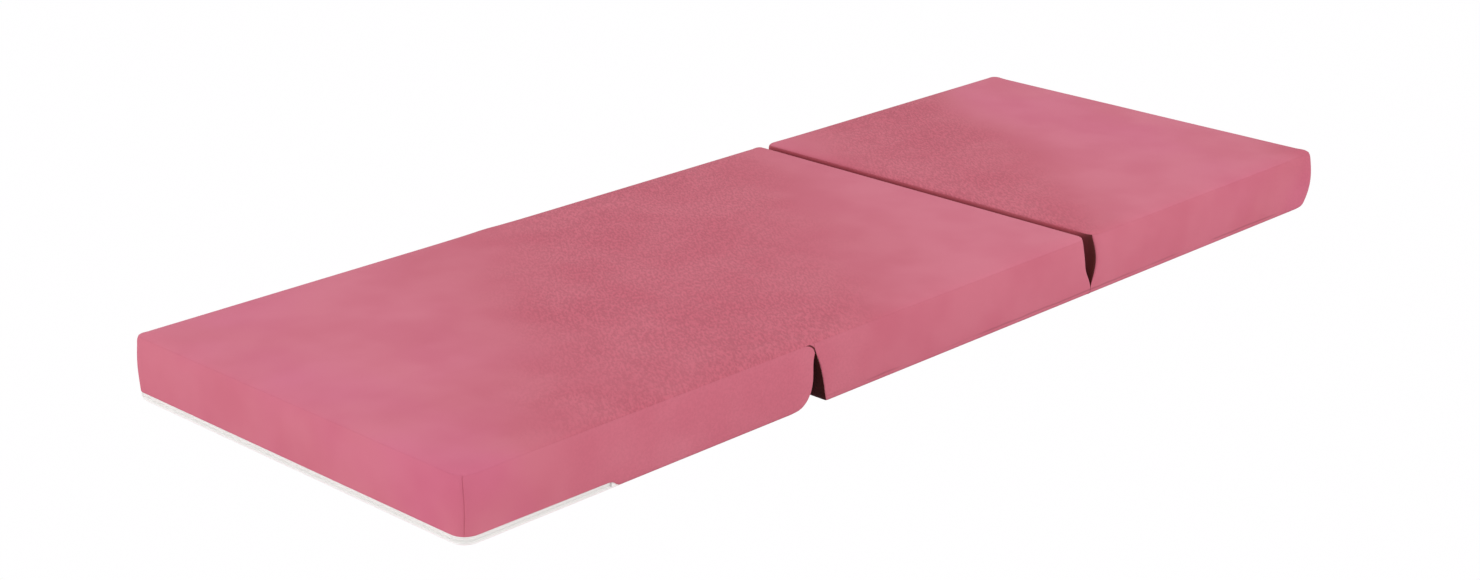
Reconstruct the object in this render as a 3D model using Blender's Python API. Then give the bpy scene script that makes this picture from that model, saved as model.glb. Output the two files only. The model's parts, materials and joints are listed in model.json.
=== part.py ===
"""Tri-fold guest mattress, laid out flat: three foam blocks in one velour cover.

X runs from the foot end to the head end, Y across and Z up, in metres. The origin
is on the floor under the middle of the mattress, and the near long side faces -Y.
The foot section folds up and over the middle one, about the top edge between them.
The head section folds down and under it, about the bottom edge between them.
"""

import math

import bmesh
import bpy
from mathutils import Matrix, Vector

# Sizes of the whole mattress
section_length = 0.63333
mattress_width = 0.70
mattress_height = 0.10

# Cloth, and the clearances between sewn pieces
cover_thickness = 0.0015
touch_gap = 0.0003
seam_gap = 0.0006
hinge_clearance = 0.0002
foam_side_clearance = 0.0016
foam_top_clearance = 0.0016
foam_chamfer = 0.0025
foam_top_chamfer = 0.005
foam_corner_radius = 0.012

# Padded form: how the cover rises, rounds off and is drawn in at its seams
crown_rise = 0.0025
crown_reach = 0.11
side_bulge = 0.004
outer_corner_radius = 0.026
fold_corner_radius = 0.009
side_top_radius = 0.014
side_bottom_radius = 0.0025
head_end_top_radius = 0.018
head_end_bottom_radius = 0.035
head_end_bulge = 0.005

# Walls inside the two folds
hinge_edge_radius = 0.004
foot_joint_bottom_radius = 0.036
middle_joint_lean = 0.025
head_slit_lean = 0.015
head_slit_edge_radius = 0.009
head_joint_top_radius = 0.012
head_joint_lean = 0.002
slit_foot_height = 0.016
slit_corner_radius = 0.018

# Zip openings along the bottom edge
hem_height = 0.012
hem_end_height = 0.0105
hem_ramp = 0.012
foot_zip_side_run = 0.25
side_zip_margin = 0.055
tape_thickness = 0.0007
tape_tail = 0.014
tape_part = 0.0007
upper_tape_top = 0.022
zip_centre_height = 0.0065
coil_width = 0.0044
coil_thickness = 0.001
stop_length = 0.0026
stop_overhang = 0.0004

# Zip slider and its pull tab
slider_length = 0.010
slider_plate = 0.0008
slider_flange = 0.0008
bridge_length = 0.005
bridge_bar = 0.0008
bridge_width = 0.002
pull_length = 0.022
pull_width = 0.005
pull_thickness = 0.0008
pull_rim = 0.001
pull_eye_length = 0.0046
pull_play = 0.0003

# Shares that space the cross rows, angles round the rounded edges, and a count of steps
radius_limit_share = 0.38
corner_floor_share = 0.3
knee_shares = (0.0, 0.15, 0.45, 1.0)
crown_shares = (0.1, 0.3, 0.6, 1.0)
corner_shares = (0.25, 0.5, 0.75)
seam_angle = math.radians(45.0)
under_seam_angle = math.radians(22.5)
over_seam_angle = math.radians(67.5)
knee_turn_share = 0.5
waist_share = 0.2
bottom_rim_share = 0.3
tab_corner_steps = 3

# What follows from the sizes above
base_height = cover_thickness + touch_gap
foam_side_depth = cover_thickness + foam_side_clearance
foam_top_depth = cover_thickness + foam_top_clearance
tape_depth = cover_thickness + touch_gap
coil_depth = tape_depth - touch_gap - coil_thickness
half_length = 1.5 * section_length
hinge_x = 0.5 * section_length
half_gap = 0.5 * touch_gap
half_seam = 0.5 * seam_gap

near_side, head_side, far_side, foot_side = range(4)


def linear(red, green, blue):
    """A colour read off a picture, turned into the linear values that a shader takes."""
    return [((value / 255 + 0.055) / 1.055) ** 2.4 for value in (red, green, blue)]


def make_material(name, colour, roughness, metallic=0.0):
    material = bpy.data.materials.new(name)
    material.use_nodes = True
    shader = material.node_tree.nodes["Principled BSDF"]
    shader.inputs["Base Color"].default_value = (*linear(*colour), 1.0)
    shader.inputs["Roughness"].default_value = roughness
    shader.inputs["Metallic"].default_value = metallic
    return material


def place_object(name, mesh, colour, roughness, metallic=0.0, parent=None):
    """Adds a finished mesh, given in world places, under the empty that carries it."""
    mesh.materials.append(make_material(name, colour, roughness, metallic))
    piece = bpy.data.objects.new(name, mesh)
    bpy.context.scene.collection.objects.link(piece)
    piece.parent = parent
    if parent is not None:
        piece.matrix_parent_inverse = parent.matrix_world.inverted()
    return piece


def cap(shape, ring, edges, is_sheet):
    """Closes one end of a loft: one face, or on a sheet a face between each pair of rows."""
    if not is_sheet:
        bmesh.ops.contextual_create(shape, geom=edges)
        return
    for low in range(len(ring) // 2 - 1):
        corners = (ring[low], ring[low + 1], ring[-low - 2], ring[-low - 1])
        bmesh.ops.contextual_create(shape, geom=corners)


def loft(name, loops, is_sheet=False, smooth_angle=30.0):
    """A closed solid: a ring of points extruded to each following ring, and closed at its ends."""
    shape = bmesh.new()
    ring = [shape.verts.new(point) for point in loops[0]]
    edges = [shape.edges.new(pair) for pair in zip(ring, ring[1:] + ring[:1])]
    cap(shape, ring, edges, is_sheet)
    for loop in loops[1:]:
        grown = bmesh.ops.extrude_edge_only(shape, edges=edges)["geom"]
        fresh = {part for part in grown if isinstance(part, bmesh.types.BMVert)}
        ring = [
            next(edge.other_vert(vert) for edge in vert.link_edges if edge.other_vert(vert) in fresh)
            for vert in ring
        ]
        for vert, point in zip(ring, loop):
            vert.co = point
        edges = [shape.edges.get(pair) for pair in zip(ring, ring[1:] + ring[:1])]
    cap(shape, ring, edges, is_sheet)
    bmesh.ops.recalc_face_normals(shape, faces=shape.faces)
    mesh = bpy.data.meshes.new(name)
    shape.to_mesh(mesh)
    shape.free()
    mesh.shade_smooth()
    mesh.set_sharp_from_angle(angle=math.radians(smooth_angle))
    return mesh


def settle(mesh, frame):
    """Moves a mesh from local axes to its place, and keeps its faces pointing outwards."""
    mesh.transform(frame)
    if frame.determinant() < 0.0:
        mesh.flip_normals()


def rounding(radius, distance):
    """How far a rounded edge has drawn in at a distance from the edge's outermost line."""
    if distance >= radius:
        return 0.0
    return radius - math.sqrt(radius ** 2 - (radius - distance) ** 2)


class Side:
    """One upright side of a section: how far its cloth is drawn in at each height."""

    def __init__(
        self,
        top_radius,
        bottom_radius,
        bulge=0.0,
        lean_at_top=0.0,
        lean_at_bottom=0.0,
        lean_start=0.0,
        crown=crown_rise,
    ):
        self.edge_height = mattress_height - crown
        limit = radius_limit_share * self.edge_height
        self.top_radius = min(top_radius, limit)
        self.bottom_radius = min(bottom_radius, limit)
        self.shoulder = self.edge_height - self.top_radius
        self.bulge = bulge
        self.lean_at_top = lean_at_top
        self.lean_at_bottom = lean_at_bottom
        self.lean_start = max(lean_start, self.bottom_radius)
        self.knee = self.bottom_radius
        self.waist = self.lean_start

    def inset(self, height):
        lean_share = (height - self.lean_start) / (self.shoulder - self.lean_start)
        lean_share = min(max(lean_share, 0.0), 1.0)
        lean = self.lean_at_top * lean_share + self.lean_at_bottom * (1.0 - lean_share)
        drawn_in = self.bulge * math.cos(math.pi * height / self.edge_height) ** 2
        rounded = rounding(self.bottom_radius, height) + rounding(self.top_radius, self.edge_height - height)
        return lean + drawn_in + rounded

    def slope(self, height):
        """How fast the cloth draws in with height, measured over the thinnest gap."""
        step = hinge_clearance * knee_turn_share
        return (self.inset(height + step) - self.inset(height - step)) / (step + step)

    def row(self, height):
        """Inset and height of the cloth, and its inward direction across and up."""
        slope = self.slope(height)
        length = math.hypot(1.0, slope)
        return (self.inset(height), height, 1.0 / length, -slope / length)

    def wall_rows(self, hem):
        """Rows of the wall, from its hem to just under the seam of the top panel."""
        knee = max(self.knee, hem + knee_turn_share * hem_height)
        heights = [hem + (knee - hem) * share for share in knee_shares]
        if hem < hinge_edge_radius:
            heights[1] = hinge_edge_radius
        middle = 0.5 * self.edge_height
        heights += [max(self.waist, knee + waist_share * (middle - knee)), middle, self.shoulder]
        seam_turn = half_seam / self.top_radius
        for angle in (under_seam_angle, seam_angle - seam_turn):
            heights.append(self.shoulder + self.top_radius * math.sin(angle))
        return [self.row(height) for height in heights]

    def top_rows(self):
        """Rows of the top panel, from its seam over the rounded edge and in to the flat crown."""
        seam_turn = half_seam / self.top_radius
        rows = []
        for angle in (seam_angle + seam_turn, over_seam_angle):
            rows.append(self.row(self.shoulder + self.top_radius * math.sin(angle)))
        edge_inset = self.inset(self.edge_height)
        rise = mattress_height - self.edge_height
        for share in (0.0,) + crown_shares:
            height = self.edge_height + rise * (1.0 - (1.0 - share) ** 2)
            rows.append((edge_inset + crown_reach * share, height, 0.0, -1.0))
        return rows


def sink(row, depth_across, depth_up):
    """A row moved into the padding, square to the cloth, but not down into the bottom panel."""
    inset, height, across, up = row
    return (inset + depth_across * across, max(base_height, height + depth_up * up))


class Section:
    """One of the three padded sections, with its plan outline and its four sides."""

    def __init__(self, name, low_x, high_x, sides, corner_radii, hem_lines):
        self.name = name
        self.low_x = low_x
        self.high_x = high_x
        self.sides = sides
        self.corner_radii = corner_radii
        self.hem_lines = hem_lines
        for side in sides:
            side.knee = max(other.bottom_radius for other in sides)
            side.waist = max(other.lean_start for other in sides)

    def point(self, levels, column, least_radius=0.0):
        """A point of the plan outline: one (inset, height) level for each side, and a column.

        A column is (side, share along it) or (corner, share round it, shift along the cloth).
        Between its ends, a column on a long side keeps its place at every level.
        Corner n joins side n to the next side, going anticlockwise seen from above.
        """
        insets = [level[0] for level in levels]
        low_x = self.low_x + insets[foot_side]
        high_x = self.high_x - insets[head_side]
        low_y = -0.5 * mattress_width + insets[near_side]
        high_y = 0.5 * mattress_width - insets[far_side]
        radii = []
        for corner, radius in enumerate(self.corner_radii):
            mean_inset = 0.5 * (insets[corner] + insets[(corner + 1) % 4])
            radii.append(max(radius - mean_inset, radius * corner_floor_share, least_radius))
        centres = (
            (high_x - radii[0], low_y + radii[0]),
            (high_x - radii[1], high_y - radii[1]),
            (low_x + radii[2], high_y - radii[2]),
            (low_x + radii[3], low_y + radii[3]),
        )
        if len(column) == 3:
            corner, share, shift = column
            angle = math.radians(90.0) * (corner + share - 1.0)
            x = centres[corner][0] + radii[corner] * math.cos(angle) - shift * math.sin(angle)
            y = centres[corner][1] + radii[corner] * math.sin(angle) + shift * math.cos(angle)
            following = levels[(corner + 1) % 4][1]
            return Vector((x, y, levels[corner][1] * (1.0 - share) + following * share))
        side, share = column
        along = centres[side - 1] if share < 0.5 else centres[side]
        if side in (foot_side, head_side):
            return Vector((low_x if side == foot_side else high_x, along[1], levels[side][1]))
        y = low_y if side == near_side else high_y
        if share in (0.0, 1.0):
            return Vector((along[0], y, levels[side][1]))
        run = self.straight_length(side) * share
        if side == near_side:
            x = self.low_x + self.corner_radii[foot_side] + run
        else:
            x = self.high_x - self.corner_radii[head_side] - run
        return Vector((x, y, levels[side][1]))

    def hem(self, column):
        """Height of the cover's lower edge at a column, which rises over a zip."""
        if len(column) == 3:
            corner, share, shift = column
            return self.hem_lines[corner][-1][1]
        side, share = column
        line = self.hem_lines[side]
        for (start, low), (end, high) in zip(line, line[1:]):
            if share <= end:
                return low + (high - low) * (share - start) / (end - start)
        return line[-1][1]

    def side_columns(self, side):
        return [(side, share) for share, height in self.hem_lines[side]]

    def all_columns(self):
        """Columns right round the section, for pieces that have no corner seam."""
        columns = []
        for side in range(4):
            columns += [(side, 0.0), (side, 1.0)]
            columns += [(side, share, 0.0) for share in corner_shares]
        return columns

    def wall_columns(self, side):
        """Columns of one wall, from corner seam to corner seam."""
        before = (side - 1) % 4
        columns = [(before, 0.5, half_seam), (before, corner_shares[-1], 0.0)]
        columns += self.side_columns(side)
        columns += [(side, corner_shares[0], 0.0), (side, 0.5, -half_seam)]
        return columns

    def straight_length(self, side):
        span = self.high_x - self.low_x if side in (near_side, far_side) else mattress_width
        return span - self.corner_radii[side - 1] - self.corner_radii[side]


def level_sets(section, rows_of_side, depth_across=0.0, depth_up=0.0):
    """Turns each side's rows into levels that Section.point reads, sunk by a depth."""
    rows = [rows_of_side(side) for side in section.sides]
    return [[sink(row, depth_across, depth_up) for row in group] for group in zip(*rows)]


def make_wall(section, side):
    """A sewn wall panel of one side: a thin curved sheet with its own closed edges."""
    loops = []
    for column in section.wall_columns(side):
        hem = section.hem(column)
        outer = level_sets(section, lambda one: one.wall_rows(hem))
        inner = level_sets(section, lambda one: one.wall_rows(hem), cover_thickness, cover_thickness)
        loops.append([section.point(levels, column) for levels in outer + inner[::-1]])
    return loops


def make_top_panel(section):
    """The crowned top panel, which turns down over the rounded edges to its seam."""
    outer = level_sets(section, lambda one: one.top_rows())
    inner = level_sets(section, lambda one: one.top_rows(), cover_thickness, cover_thickness)
    columns = section.all_columns()
    return [[section.point(levels, column) for column in columns] for levels in inner[::-1] + outer]


def make_bottom_panel(section):
    """The flat bottom panel that the mattress lies on."""
    columns = section.all_columns()
    lower_rim = bottom_rim_share * cover_thickness
    rims = ((lower_rim, 0.0), (cover_thickness, cover_thickness))
    loops = []
    for rim, height in rims:
        levels = [(side.inset(rim), height) for side in section.sides]
        loops.append([section.point(levels, column) for column in columns])
    return loops


def foam_rows(side):
    """Levels of the foam inside one side: chamfered at the floor and at the top edge."""
    ceiling = side.edge_height - foam_top_depth - foam_top_chamfer
    levels = []
    for row in side.wall_rows(base_height)[:-2]:
        inset, height = sink(row, foam_side_depth, foam_top_depth)
        levels.append((inset, min(height, ceiling)))
    levels.insert(0, (levels[0][0] + foam_chamfer, base_height))
    for inset, height, across, up in side.top_rows()[2:]:
        levels.append((inset + foam_side_depth + foam_chamfer, height - foam_top_depth))
    return levels


def make_foam_core(section):
    """The foam block, a little smaller than its cover."""
    columns = section.all_columns()
    loops = []
    for levels in zip(*[foam_rows(side) for side in section.sides]):
        loops.append([section.point(levels, column, foam_corner_radius) for column in columns])
    return loops


def make_strip(section, columns, heights, depth, thickness):
    """A strip that follows the wall inside its outer face, such as a zip tape."""
    loops = []
    for column in columns:
        loop = []
        for extra, order in ((0.0, 1), (thickness, -1)):
            for height in heights[::order]:
                levels = [(side.inset(height) + depth + extra, height) for side in section.sides]
                loop.append(section.point(levels, column))
        loops.append(loop)
    return loops


def extrude_outline(name, outline, span, axis, middle=0.0):
    """A solid drawn as an outline in two local directions and pushed through the third."""
    loops = []
    for place in (middle - 0.5 * span, middle + 0.5 * span):
        loop = []
        for first, second in outline:
            values = [first, second]
            values.insert(axis, place)
            loop.append(values)
        loops.append(loop)
    return loft(name, loops)


def combine(piece, tool_mesh, operation):
    """Joins a hidden second solid to a piece, or cuts it out of the piece."""
    tool = place_object(tool_mesh.name, tool_mesh, zip_metal, 0.35, 1.0, piece.parent)
    tool.hide_render = True
    tool.display_type = "WIRE"
    modifier = piece.modifiers.new(tool_mesh.name, "BOOLEAN")
    modifier.operation = operation
    modifier.object = tool


def round_rectangle(low_run, high_run, half_width, radius):
    """Outline of a flat tab in the local run and up directions."""
    centres = (
        (high_run - radius, half_width - radius),
        (low_run + radius, half_width - radius),
        (low_run + radius, radius - half_width),
        (high_run - radius, radius - half_width),
    )
    outline = []
    for quarter, (run, up) in enumerate(centres):
        for step in range(tab_corner_steps + 1):
            angle = math.radians(90.0) * (quarter + step / tab_corner_steps)
            outline.append((run + radius * math.cos(angle), up + radius * math.sin(angle)))
    return outline


velour = (203, 112, 129)
velour_side = (209, 118, 136)
velour_shade = (112, 50, 58)
lining_cloth = (196, 108, 124)
foam_colour = (236, 226, 196)
zip_white = (244, 241, 236)
zip_tooth = (226, 224, 220)
zip_metal = (206, 206, 204)

for old in list(bpy.data.objects):
    bpy.data.objects.remove(old, do_unlink=True)

# The three sections and their walls, each listed as near, head side, far, foot side
low_foot = -half_length
low_middle = -hinge_x + half_gap
low_head = hinge_x + half_gap
fold_free = [(0.0, base_height), (1.0, base_height)]
zip_all_along = [(0.0, hem_height), (1.0, hem_height)]


def long_side():
    return Side(side_top_radius, side_bottom_radius, bulge=side_bulge)


foot_straight = section_length - half_gap - outer_corner_radius - fold_corner_radius
opening_end = (foot_zip_side_run - outer_corner_radius) / foot_straight
ramp_end = (foot_zip_side_run + hem_ramp - outer_corner_radius) / foot_straight
tail_end = (foot_zip_side_run + tape_tail - outer_corner_radius) / foot_straight
coil_end = opening_end - (stop_length + touch_gap + touch_gap) / foot_straight
near_hem = [(0.0, hem_height), (opening_end, hem_end_height), (ramp_end, base_height), (1.0, base_height)]
far_hem = [(1.0 - share, height) for share, height in near_hem[::-1]]

foot_section = Section(
    "foot",
    low_foot,
    -hinge_x - half_gap,
    (
        long_side(),
        Side(hinge_edge_radius, foot_joint_bottom_radius, crown=0.0),
        long_side(),
        long_side(),
    ),
    (fold_corner_radius, fold_corner_radius, outer_corner_radius, outer_corner_radius),
    (near_hem, fold_free, far_hem, zip_all_along),
)


def side_hem(straight):
    """Lower edge of a far wall with a straight zip in it."""
    start = side_zip_margin / straight
    ramp = hem_ramp / straight
    rise = [(0.0, base_height), (start - ramp, base_height), (start, hem_end_height)]
    return rise + [(1.0 - share, height) for share, height in rise[::-1]]


middle_straight = section_length - touch_gap - fold_corner_radius - slit_corner_radius
head_straight = section_length - half_gap - outer_corner_radius - slit_corner_radius

middle_section = Section(
    "middle",
    low_middle,
    hinge_x - half_gap,
    (
        long_side(),
        Side(
            head_slit_edge_radius,
            hinge_edge_radius,
            lean_at_top=head_slit_lean,
            lean_start=slit_foot_height,
        ),
        long_side(),
        Side(hinge_edge_radius, hinge_edge_radius, lean_at_bottom=middle_joint_lean, crown=0.0),
    ),
    (slit_corner_radius, slit_corner_radius, fold_corner_radius, fold_corner_radius),
    (fold_free, fold_free, side_hem(middle_straight), fold_free),
)

head_section = Section(
    "head",
    low_head,
    half_length,
    (
        long_side(),
        Side(head_end_top_radius, head_end_bottom_radius, bulge=head_end_bulge),
        long_side(),
        Side(
            head_joint_top_radius,
            hinge_edge_radius,
            lean_at_top=head_joint_lean,
            lean_start=slit_foot_height,
        ),
    ),
    (outer_corner_radius, outer_corner_radius, slit_corner_radius, slit_corner_radius),
    (fold_free, fold_free, side_hem(head_straight), fold_free),
)


def make_pivot(name, place, parent=None):
    """An empty on a joint's axis, which carries the pieces that turn or slide there."""
    pivot = bpy.data.objects.new(name, None)
    bpy.context.scene.collection.objects.link(pivot)
    pivot.parent = parent
    if parent is not None:
        pivot.matrix_parent_inverse = parent.matrix_world.inverted()
    pivot.location = place
    bpy.context.view_layer.update()
    return pivot


foot_pivot = make_pivot("foot_fold_axis", (-hinge_x, 0.0, mattress_height + hinge_clearance))
head_pivot = make_pivot("head_fold_axis", (hinge_x, 0.0, -hinge_clearance))

# Foam core, top panel, bottom panel and walls of each section
wall_names = {
    "foot": ("foot_near_border", "foot_joint_wall", "foot_far_border", "foot_end_border"),
    "middle": ("middle_near_border", "middle_head_side_wall", "middle_far_border", "middle_foot_side_wall"),
    "head": ("head_near_border", "head_end_border", "head_far_border", "head_joint_wall"),
}
carriers = ((foot_section, foot_pivot), (middle_section, None), (head_section, head_pivot))
for section, pivot in carriers:
    core_name = section.name + "_foam_core"
    place_object(core_name, loft(core_name, make_foam_core(section)), foam_colour, 0.95, parent=pivot)
    top_name = section.name + "_top_panel"
    place_object(top_name, loft(top_name, make_top_panel(section)), velour, 0.9, parent=pivot)
    bottom_name = section.name + "_bottom_panel"
    place_object(bottom_name, loft(bottom_name, make_bottom_panel(section)), lining_cloth, 0.9, parent=pivot)
    for side, wall_name in enumerate(wall_names[section.name]):
        colour = velour_shade if "wall" in wall_name else velour_side
        mesh = loft(wall_name, make_wall(section, side), is_sheet=True)
        place_object(wall_name, mesh, colour, 0.9, parent=pivot)


def foot_path(end_share):
    """Columns along the foot zip: far side, round the foot end, and back along the near side."""
    columns = [(far_side, 1.0 - end_share), (far_side, 1.0)]
    columns += [(far_side, share, 0.0) for share in corner_shares]
    columns += [(foot_side, 0.0), (foot_side, 1.0)]
    columns += [(foot_side, share, 0.0) for share in corner_shares]
    columns += [(near_side, 0.0), (near_side, end_share)]
    return columns


def zip_frame(section, side, x):
    """Local axes on a long wall at the zip's centre line: run towards the foot, out and up."""
    wall = section.sides[side]
    slope = wall.slope(zip_centre_height)
    outward = 1.0 if side == far_side else -1.0
    y = outward * (0.5 * mattress_width - wall.inset(zip_centre_height))
    up = Vector((0.0, -slope * outward, 1.0)).normalized()
    out = Vector((0.0, outward, slope)).normalized()
    run = Vector((-1.0, 0.0, 0.0))
    frame = Matrix((run, out, up)).transposed().to_4x4()
    frame.translation = (x, y, zip_centre_height)
    return frame


def make_zip_strips(section, tape_columns, coil_columns, parent):
    """Both tapes and the coil between them."""
    half_part = 0.5 * tape_part
    lower_heights = (base_height, zip_centre_height - half_part)
    upper_heights = (zip_centre_height + half_part, hem_height, upper_tape_top)
    half_coil = 0.5 * coil_width
    coil_heights = (zip_centre_height - half_coil, zip_centre_height + half_coil)
    strips = (
        ("_zip_lower_tape", tape_columns, lower_heights, tape_depth, tape_thickness, zip_white),
        ("_zip_upper_tape", tape_columns, upper_heights, tape_depth, tape_thickness, zip_white),
        ("_zip_coil", coil_columns, coil_heights, coil_depth, coil_thickness, zip_tooth),
    )
    for ending, columns, heights, depth, thickness, colour in strips:
        name = section.name + ending
        mesh = loft(name, make_strip(section, columns, heights, depth, thickness))
        place_object(name, mesh, colour, 0.7, parent=parent)


def make_zip_stop(name, section, side, x, parent):
    """A small clip across the end of the coil."""
    half_width = 0.5 * coil_width + stop_overhang
    inner = touch_gap - tape_depth
    outer = -coil_depth + stop_overhang
    outline = ((inner, -half_width), (outer, -half_width), (outer, half_width), (inner, half_width))
    mesh = extrude_outline(name, outline, stop_length, 0)
    settle(mesh, zip_frame(section, side, x))
    place_object(name, mesh, zip_metal, 0.35, 1.0, parent)


def make_slider(section, x, parent):
    """The slider: a plate with a flange over each edge of the coil, and a bridge for the pull."""
    name = section.name + "_zip_slider"
    frame = zip_frame(section, far_side, x)
    inner_face = touch_gap - coil_depth
    outer_face = inner_face + slider_plate
    tip = touch_gap + hinge_clearance - tape_depth
    inside = 0.5 * coil_width + touch_gap
    outside = inside + slider_flange
    channel = (
        (outer_face, -outside),
        (outer_face, outside),
        (tip, outside),
        (tip, inside),
        (inner_face, inside),
        (inner_face, -inside),
        (tip, -inside),
        (tip, -outside),
    )
    slider = extrude_outline(name, channel, slider_length, 0)
    settle(slider, frame)
    piece = place_object(name, slider, zip_metal, 0.35, 1.0, parent)

    half_bridge = 0.5 * bridge_length
    half_tunnel = half_bridge - bridge_bar
    bridge_foot = 0.5 * (inner_face + outer_face)
    tunnel_top = outer_face + pull_thickness + pull_play + pull_play
    bridge_top = tunnel_top + bridge_bar
    arch = (
        (-half_bridge, bridge_foot),
        (-half_tunnel, bridge_foot),
        (-half_tunnel, tunnel_top),
        (half_tunnel, tunnel_top),
        (half_tunnel, bridge_foot),
        (half_bridge, bridge_foot),
        (half_bridge, bridge_top),
        (-half_bridge, bridge_top),
    )
    bridge = extrude_outline(name + "_bridge", arch, bridge_width, 2)
    settle(bridge, frame)
    combine(piece, bridge, "UNION")
    return frame, outer_face


def make_pull(section, frame, pivot_out, parent):
    """The pull tab, whose crossbar lies in the slider's bridge."""
    name = section.name + "_zip_pull"
    half_thickness = 0.5 * pull_thickness
    half_width = 0.5 * pull_width
    tab = round_rectangle(-half_thickness, pull_length, half_width, pull_rim)
    mesh = extrude_outline(name, tab, pull_thickness, 1, pivot_out)
    settle(mesh, frame)
    piece = place_object(name, mesh, zip_metal, 0.35, 1.0, parent)
    eye_end = half_thickness + pull_eye_length
    eye = round_rectangle(half_thickness, eye_end, half_width - pull_rim, pull_play)
    cutter = extrude_outline(name + "_eye", eye, pull_thickness + pull_thickness, 1, pivot_out)
    settle(cutter, frame)
    combine(piece, cutter, "DIFFERENCE")


def make_zip_hardware(section, coil_start, coil_finish, stops, parent):
    """Stops, slider and pull of a zip whose closed end is at the higher x on the far side."""
    half_stop = 0.5 * stop_length + touch_gap
    names = [section.name + "_zip_" + ending for ending in stops]
    make_zip_stop(names[0], section, far_side, coil_finish.x + half_stop, parent)
    if coil_start.y > 0.0:
        make_zip_stop(names[1], section, far_side, coil_start.x - half_stop, parent)
    else:
        make_zip_stop(names[1], section, near_side, coil_start.x + half_stop, parent)
    slider_x = coil_finish.x - 0.5 * slider_length - touch_gap
    wall = section.sides[far_side]
    slider_y = 0.5 * mattress_width - wall.inset(zip_centre_height)
    track = make_pivot(section.name + "_slider_track", (slider_x, slider_y, zip_centre_height), parent)
    frame, outer_face = make_slider(section, slider_x, track)
    pivot_out = outer_face + pull_play + 0.5 * pull_thickness
    hinge = make_pivot(section.name + "_pull_axis", frame @ Vector((0.0, pivot_out, 0.0)), track)
    make_pull(section, frame, pivot_out, hinge)


def strip_point(section, column):
    """A point on the coil's middle line at a column."""
    levels = [(side.inset(zip_centre_height) + coil_depth, zip_centre_height) for side in section.sides]
    return section.point(levels, column)


# The foot zip runs round the foot end, and the other two are straight on the far side
make_zip_strips(foot_section, foot_path(tail_end), foot_path(coil_end), foot_pivot)
make_zip_hardware(
    foot_section,
    strip_point(foot_section, (near_side, coil_end)),
    strip_point(foot_section, (far_side, 1.0 - coil_end)),
    ("far_stop", "near_stop"),
    foot_pivot,
)
for section, pivot, straight in (
    (middle_section, None, middle_straight),
    (head_section, head_pivot, head_straight),
):
    start = side_zip_margin / straight
    tail = (side_zip_margin - tape_tail) / straight
    coil = start + (stop_length + touch_gap + touch_gap) / straight
    tape_columns = [(far_side, tail), (far_side, 1.0 - tail)]
    coil_columns = [(far_side, coil), (far_side, 1.0 - coil)]
    make_zip_strips(section, tape_columns, coil_columns, pivot)
    make_zip_hardware(
        section,
        strip_point(section, coil_columns[1]),
        strip_point(section, coil_columns[0]),
        ("head_side_stop", "foot_side_stop"),
        pivot,
    )
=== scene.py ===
"""Folding guest mattress in rose velour, laid out flat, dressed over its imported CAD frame."""

import json
import math

import bmesh
import bpy
from mathutils import Matrix, Vector, kdtree, noise


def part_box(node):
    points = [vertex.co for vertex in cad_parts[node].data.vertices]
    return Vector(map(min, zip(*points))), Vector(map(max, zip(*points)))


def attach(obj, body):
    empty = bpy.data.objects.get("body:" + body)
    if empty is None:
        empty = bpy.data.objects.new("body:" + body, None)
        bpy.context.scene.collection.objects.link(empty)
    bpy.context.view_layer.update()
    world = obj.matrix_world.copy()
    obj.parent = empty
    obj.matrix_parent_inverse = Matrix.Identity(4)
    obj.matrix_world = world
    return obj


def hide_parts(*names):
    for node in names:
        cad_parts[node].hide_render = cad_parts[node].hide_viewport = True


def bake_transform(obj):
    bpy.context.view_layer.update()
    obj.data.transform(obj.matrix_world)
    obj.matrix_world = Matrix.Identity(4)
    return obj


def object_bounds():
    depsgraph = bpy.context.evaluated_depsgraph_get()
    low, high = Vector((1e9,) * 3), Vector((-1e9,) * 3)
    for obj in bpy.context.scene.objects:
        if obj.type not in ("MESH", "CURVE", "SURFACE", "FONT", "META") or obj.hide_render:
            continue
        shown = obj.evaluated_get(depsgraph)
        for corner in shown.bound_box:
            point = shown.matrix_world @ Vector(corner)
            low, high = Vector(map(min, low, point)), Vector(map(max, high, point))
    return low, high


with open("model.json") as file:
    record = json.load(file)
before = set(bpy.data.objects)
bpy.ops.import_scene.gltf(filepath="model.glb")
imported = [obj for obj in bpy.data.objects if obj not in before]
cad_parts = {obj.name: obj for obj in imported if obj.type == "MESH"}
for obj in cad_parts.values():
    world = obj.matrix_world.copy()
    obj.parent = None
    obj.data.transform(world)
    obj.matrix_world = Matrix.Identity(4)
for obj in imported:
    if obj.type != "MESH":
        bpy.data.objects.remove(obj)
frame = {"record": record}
cad_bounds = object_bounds()


# CAMERA
# It stands where the mattress's corners fall on their pixels in the photograph, at the
# foot end's near corner, looking along the mattress and down on it.

camera_place = (-2.793, -2.570, 1.382)
camera_heading = math.radians(46.31)
camera_dip = math.radians(20.0)
camera_roll = math.radians(0.26)
lens_length_mm = 63.5
sensor_width_mm = 36.0
sight_depth = 60.0


def add_object(name, data):
    """Puts a new object with this mesh, curve, lamp or camera into the scene."""
    thing = bpy.data.objects.new(name, data)
    bpy.context.scene.collection.objects.link(thing)
    return thing


camera_data = bpy.data.cameras.new("photo_camera")
camera_data.lens = lens_length_mm
camera_data.sensor_width = sensor_width_mm
camera_data.sensor_fit = "HORIZONTAL"
camera_data.clip_end = sight_depth
camera = add_object("photo_camera", camera_data)
turn = Matrix.Rotation(-camera_heading, 4, "Z")
turn @= Matrix.Rotation(math.radians(90.0) - camera_dip, 4, "X")
turn @= Matrix.Rotation(camera_roll, 4, "Z")
camera.matrix_world = Matrix.Translation(camera_place) @ turn
bpy.context.scene.camera = camera
bpy.context.scene.view_settings.view_transform = "Standard"


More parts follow.
